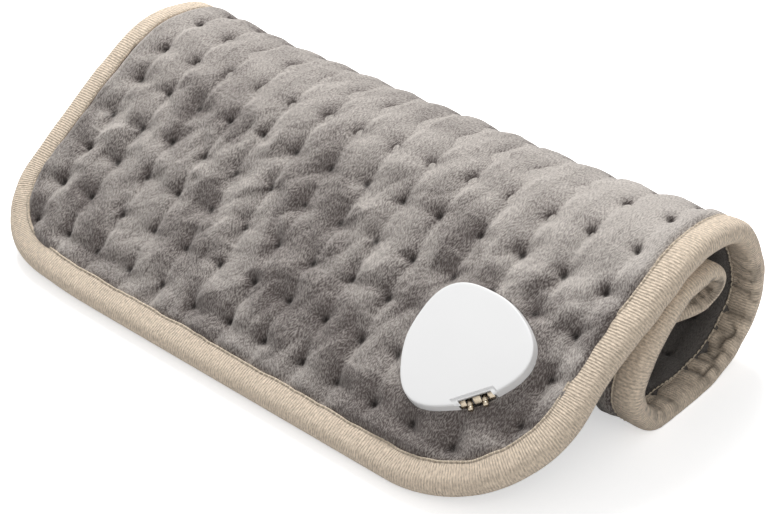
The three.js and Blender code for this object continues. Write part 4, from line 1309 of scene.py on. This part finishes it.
def metal_finish(name, colour, roughness):
    """Plated metal, unevenly worn."""
    made, tree, shader = material(name, colour, roughness, 1.0)
    worn = noise(tree, object_place(tree), 420.0, 4.0)
    tree.links.new(blend_colours(tree, worn, shade(colour, 0.72), colour),
                   shader.inputs["Base Color"])
    tree.links.new(spread(tree, worn, 0.3, 0.7, roughness - 0.08, roughness + 0.12),
                   shader.inputs["Roughness"])
    return made


def felt_finish(name, colour):
    """Soft non-woven cloth with fibres that show."""
    made, tree, shader = material(name, colour, 0.95)
    fibres = noise(tree, object_place(tree), 700.0, 4.0, 0.7)
    tree.links.new(blend_colours(tree, fibres, shade(colour, 0.8), colour),
                   shader.inputs["Base Color"])
    bump(tree, shader, fibres, 0.0002, 0.5)
    return made


# Operators

class PAD_OT_covers(Operator):
    """Quilted front and back covers, each in a flap part and a roll part"""
    bl_idname = "heating_pad.covers"
    bl_label = "Quilted covers"

    def execute(self, context):
        sizes = pad()
        finishes = {
            "front": plush_finish("taupe_plush", sizes.plush, sizes.plush_light),
            # The inner plush is a darker copy of the outer one: painted shade inside the roll.
            "back": plush_finish("shaded_inner_plush", shade(sizes.plush, SHADED_INNER_DARK),
                                 shade(sizes.plush_light, SHADED_INNER_LIGHT)),
        }
        for name, (side, fine, coarse) in COVERS.items():
            flap, roll, columns = cover_places(fine, coarse)
            for half, rows in (("flap", flap), ("roll", roll)):
                mesh = cover_mesh(f"{name}_plush_{half}", rows, columns, side)
                made = new_object(mesh, finishes[name])
                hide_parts(f"{name}_cover_{half}")
                hold(made, half)
        return {"FINISHED"}


class PAD_OT_binding(Operator):
    """Ribbed tape folded round the edge, with its stitches"""
    bl_idname = "heating_pad.binding"
    bl_label = "Edge binding"

    def execute(self, context):
        tape = tape_finish("ribbed_tape", tuple(binding().colour))
        thread = thread_finish()
        section = tape_section()
        for half, path in zip(("flap", "roll"), edge_path(TAPE_STEP)):
            made = new_object(tape_mesh(f"binding_tape_{half}", path), tape)
            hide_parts(f"edge_binding_{half}")
            sewn = new_object(stitch_mesh(f"binding_stitches_{half}", path), thread)
            for piece in (made, sewn):
                hold(piece, half)
        return {"FINISHED"}


class PAD_OT_layers(Operator):
    """Heater carrier, wadding and heating wire between the covers"""
    bl_idname = "heating_pad.layers"
    bl_label = "Inner layers"

    def execute(self, context):
        carrier = felt_finish("carrier_cloth", CARRIER)
        wadding = felt_finish("wadding", WADDING)
        wire = moulded_finish("wire_insulation", WIRE_RED, 0.5)
        seam, length = seam_place(), pad().length / MM
        spans = {"flap": np.linspace(LAYER_INSET, seam, LAYER_ROWS["flap"]),
                 "roll": np.linspace(seam, length - LAYER_INSET, LAYER_ROWS["roll"])}
        places = wire_places()
        for half, rows in spans.items():
            here = (places[:, 1] <= seam) if half == "flap" else (places[:, 1] > seam)
            line = on_roll(places[here, 0], places[here, 1], WIRE_HEIGHT)
            upper = new_object(plain_sheet(f"carrier_cloth_{half}", rows, *CARRIER_HEIGHTS),
                               carrier)
            lower = new_object(plain_sheet(f"wadding_{half}", rows, *WADDING_HEIGHTS),
                               wadding)
            heater = new_object(tube_mesh(f"wire_{half}", line, WIRE_RADIUS * MM),
                                wire)
            for piece, node in ((upper, "heater_carrier"), (lower, "back_wadding"),
                                (heater, "heating_wire")):
                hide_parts(f"{node}_{half}")
                hold(piece, half)
        return {"FINISHED"}


class PAD_OT_socket(Operator):
    """The moulded socket: cap with its lowered lip, and base"""
    bl_idname = "heating_pad.socket"
    bl_label = "Socket shell"

    def execute(self, context):
        sizes = socket()
        white = moulded_finish("white_shell", tuple(sizes.colour), 0.36)
        edge, over = mouth_edge(), CUT_REACH
        mouth, notch = sizes.mouth_half_width / MM, sizes.notch_half_width / MM
        floor, ceiling = sizes.mouth_floor / MM, sizes.mouth_top / MM
        lip, back = sizes.lip_half_width / MM - 0.35, edge - sizes.lip_depth / MM
        mouth_box = ((edge - sizes.mouth_depth / MM, -mouth, floor), (over, mouth, ceiling))
        step_box = ((back, -lip, sizes.lip_top / MM - 0.3), (over, lip, over))
        notch_box = ((edge - sizes.notch_depth / MM, -notch, NOTCH_FLOOR), (over, notch, over))
        cap, hood, base = (new_object(mesh, white)
                           for mesh in (cap_mesh(), hood_mesh(), base_mesh()))
        for piece, boxes in ((cap, (mouth_box, step_box, notch_box)), (hood, (notch_box,)),
                             (base, (mouth_box, notch_box))):
            for low, high in boxes:
                cutter = bpy.data.objects.new("cutter", box_mesh("cutter", low, high))
                context.scene.collection.objects.link(cutter)
                cut_with(piece, cutter)
        for piece in (cap, hood, base):
            piece.data.transform(socket_frame())
            piece.data.polygons.foreach_set("use_smooth", np.ones(len(piece.data.polygons), bool))
            piece.data.set_sharp_from_angle(angle=SHARP_SHELL)
            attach(piece, "flap")
        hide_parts("socket_cap")
        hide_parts("socket_base")
        return {"FINISHED"}


class PAD_OT_contacts(Operator):
    """Round pins and flat contacts in the socket's mouth"""
    bl_idname = "heating_pad.contacts"
    bl_label = "Contacts"

    def execute(self, context):
        sizes = socket()
        plated = metal_finish("plated_contacts", tuple(sizes.contacts), 0.24)
        place = socket_frame()
        for name, side in (("left", -1), ("right", 1)):
            made = new_object(pin_mesh(f"pin_{name}"), plated)
            shift = (0, side * sizes.pin_spacing / 2 + PINS_ASIDE * MM, sizes.pin_height)
            fit_contact(made, f"contact_pin_{name}", place @ Matrix.Translation(shift), 45)
        for name, (aside, half) in TABS.items():
            made = new_object(tab_mesh(f"tab_{name}", half), plated)
            shift = (0, aside * MM, 0)
            fit_contact(made, f"contact_tab_{name}", place @ Matrix.Translation(shift), 50)
        return {"FINISHED"}


class PAD_OT_inside(Operator):
    """Finishes of the hard pieces inside the socket and the wire's crimp"""
    bl_idname = "heating_pad.inside"
    bl_label = "Inside the socket"

    def execute(self, context):
        dark = moulded_finish("dark_insulator", INSULATOR, 0.5)
        board = moulded_finish("circuit_board", BOARD_GREEN, 0.45)
        steel = metal_finish("plated_steel", STEEL, 0.3)
        grey = moulded_finish("lead_insulation", LEAD_GREY, 0.5)
        brass = metal_finish("crimp_metal", BRASS, 0.35)
        kinds = {"clamp_plate": dark, "contact_block": dark, "terminal_board": board,
                 "thermal_fuse": steel, "lead_left": grey, "lead_right": grey,
                 "wire_end_crimp": brass}
        for name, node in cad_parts.items():
            finish = steel if "screw" in name else kinds.get(name)
            if finish:
                node.data.materials.clear()
                node.data.materials.append(finish)
        return {"FINISHED"}


class PAD_OT_stage(Operator):
    """Floor, lamps, sky and camera"""
    bl_idname = "heating_pad.stage"
    bl_label = "Stage"

    def execute(self, context):
        scene, sizes = context.scene, context.scene.stage_sizes
        scene.view_settings.view_transform = "Standard"
        corners = ((-1, -1), (1, -1), (1, 1), (-1, 1))
        floor_mesh = new_mesh("floor", [(x * FLOOR_REACH, y * FLOOR_REACH, 0) for x, y in corners],
                              [(0, 1, 2, 3)])
        floor = bpy.data.objects.new("floor", floor_mesh)
        scene.collection.objects.link(floor)
        floor.data.materials.append(self.floor_finish(sizes.bounce, sizes.lift))
        self.lamp("key", KEY_PLACE, KEY_SIZE, sizes.key)
        self.lamp("fill", FILL_PLACE, FILL_SIZE, sizes.fill)
        scene.world = self.sky(sizes.sky)
        camera = bpy.data.cameras.new("camera")
        camera.lens, camera.sensor_width = sizes.focal, 36
        camera.clip_start, camera.clip_end = 0.05, 20
        seat = bpy.data.objects.new("camera", camera)
        scene.collection.objects.link(seat)
        ways = (Vector(CAMERA_RIGHT), -Vector(CAMERA_DOWN), -Vector(CAMERA_AHEAD))
        turn = Matrix(ways).transposed().to_4x4()
        seat.matrix_world = Matrix.Translation(CAMERA_PLACE) @ turn
        scene.camera = seat
        return {"FINISHED"}

    def lamp(self, name, place, size, power):
        """A square lamp that faces the middle of the table."""
        data = bpy.data.lights.new(name, "AREA")
        data.size, data.energy = size, power
        lamp = bpy.data.objects.new(name, data)
        bpy.context.scene.collection.objects.link(lamp)
        lamp.location = place
        lamp.rotation_euler = (-Vector(place)).to_track_quat("-Z", "Y").to_euler()

    def sky(self, strength):
        """Even light all round, seen as white."""
        world = bpy.data.worlds.new("sky")
        world.use_nodes = True
        tree = world.node_tree
        back = tree.nodes["Background"]
        level = maths(tree, "MULTIPLY_ADD", seen_directly(tree), 1.0 - strength, strength)
        back.inputs["Color"].default_value = (1, 1, 1, 1)
        tree.links.new(level, back.inputs["Strength"])
        return world

    def floor_finish(self, bounce, lift):
        """White as the camera and mirrors see it, and a little darker as it lights things."""
        made, tree, shader = material("floor", (1, 1, 1), 0.8)
        shader.inputs["Specular IOR Level"].default_value = 0.05
        seen = seen_directly(tree)
        tree.links.new(blend_colours(tree, seen, (bounce,) * 3, (1, 1, 1)),
                       shader.inputs["Base Color"])
        shader.inputs["Emission Color"].default_value = (1, 1, 1, 1)
        tree.links.new(maths(tree, "MULTIPLY", seen, lift), shader.inputs["Emission Strength"])
        return made


class PAD_PT_panel(Panel):
    """The pad's builders and sizes"""
    bl_idname = "PAD_PT_panel"
    bl_label = "Heating pad"
    bl_space_type = "VIEW_3D"
    bl_region_type = "UI"
    bl_category = "Heating pad"

    def draw(self, context):
        for group in GROUPS:
            box = self.layout.box()
            sizes = getattr(context.scene, group)
            for name in sizes.__annotations__:
                box.prop(sizes, name)
        for operator in OPERATORS:
            self.layout.operator(operator.bl_idname)


GROUPS = {"pad_sizes": PadSizes, "binding_sizes": BindingSizes, "socket_sizes": SocketSizes,
          "stage_sizes": StageSizes}
OPERATORS = (PAD_OT_covers, PAD_OT_binding, PAD_OT_layers, PAD_OT_socket, PAD_OT_contacts,
             PAD_OT_inside, PAD_OT_stage)

# The roll's middle line, which main works out once the sizes are registered.
LINE = None


def register():
    for cls in (*GROUPS.values(), *OPERATORS, PAD_PT_panel):
        bpy.utils.register_class(cls)
    for name, cls in GROUPS.items():
        setattr(bpy.types.Scene, name, PointerProperty(type=cls))


def unregister():
    for name in GROUPS:
        delattr(bpy.types.Scene, name)
    for cls in reversed((*GROUPS.values(), *OPERATORS, PAD_PT_panel)):
        bpy.utils.unregister_class(cls)


def main():
    """Registers the classes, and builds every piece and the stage."""
    global LINE
    register()
    LINE = middle_line()
    bpy.ops.heating_pad.covers()
    bpy.ops.heating_pad.binding()
    bpy.ops.heating_pad.layers()
    bpy.ops.heating_pad.socket()
    bpy.ops.heating_pad.contacts()
    bpy.ops.heating_pad.inside()
    bpy.ops.heating_pad.stage()


if __name__ == "__main__":
    main()
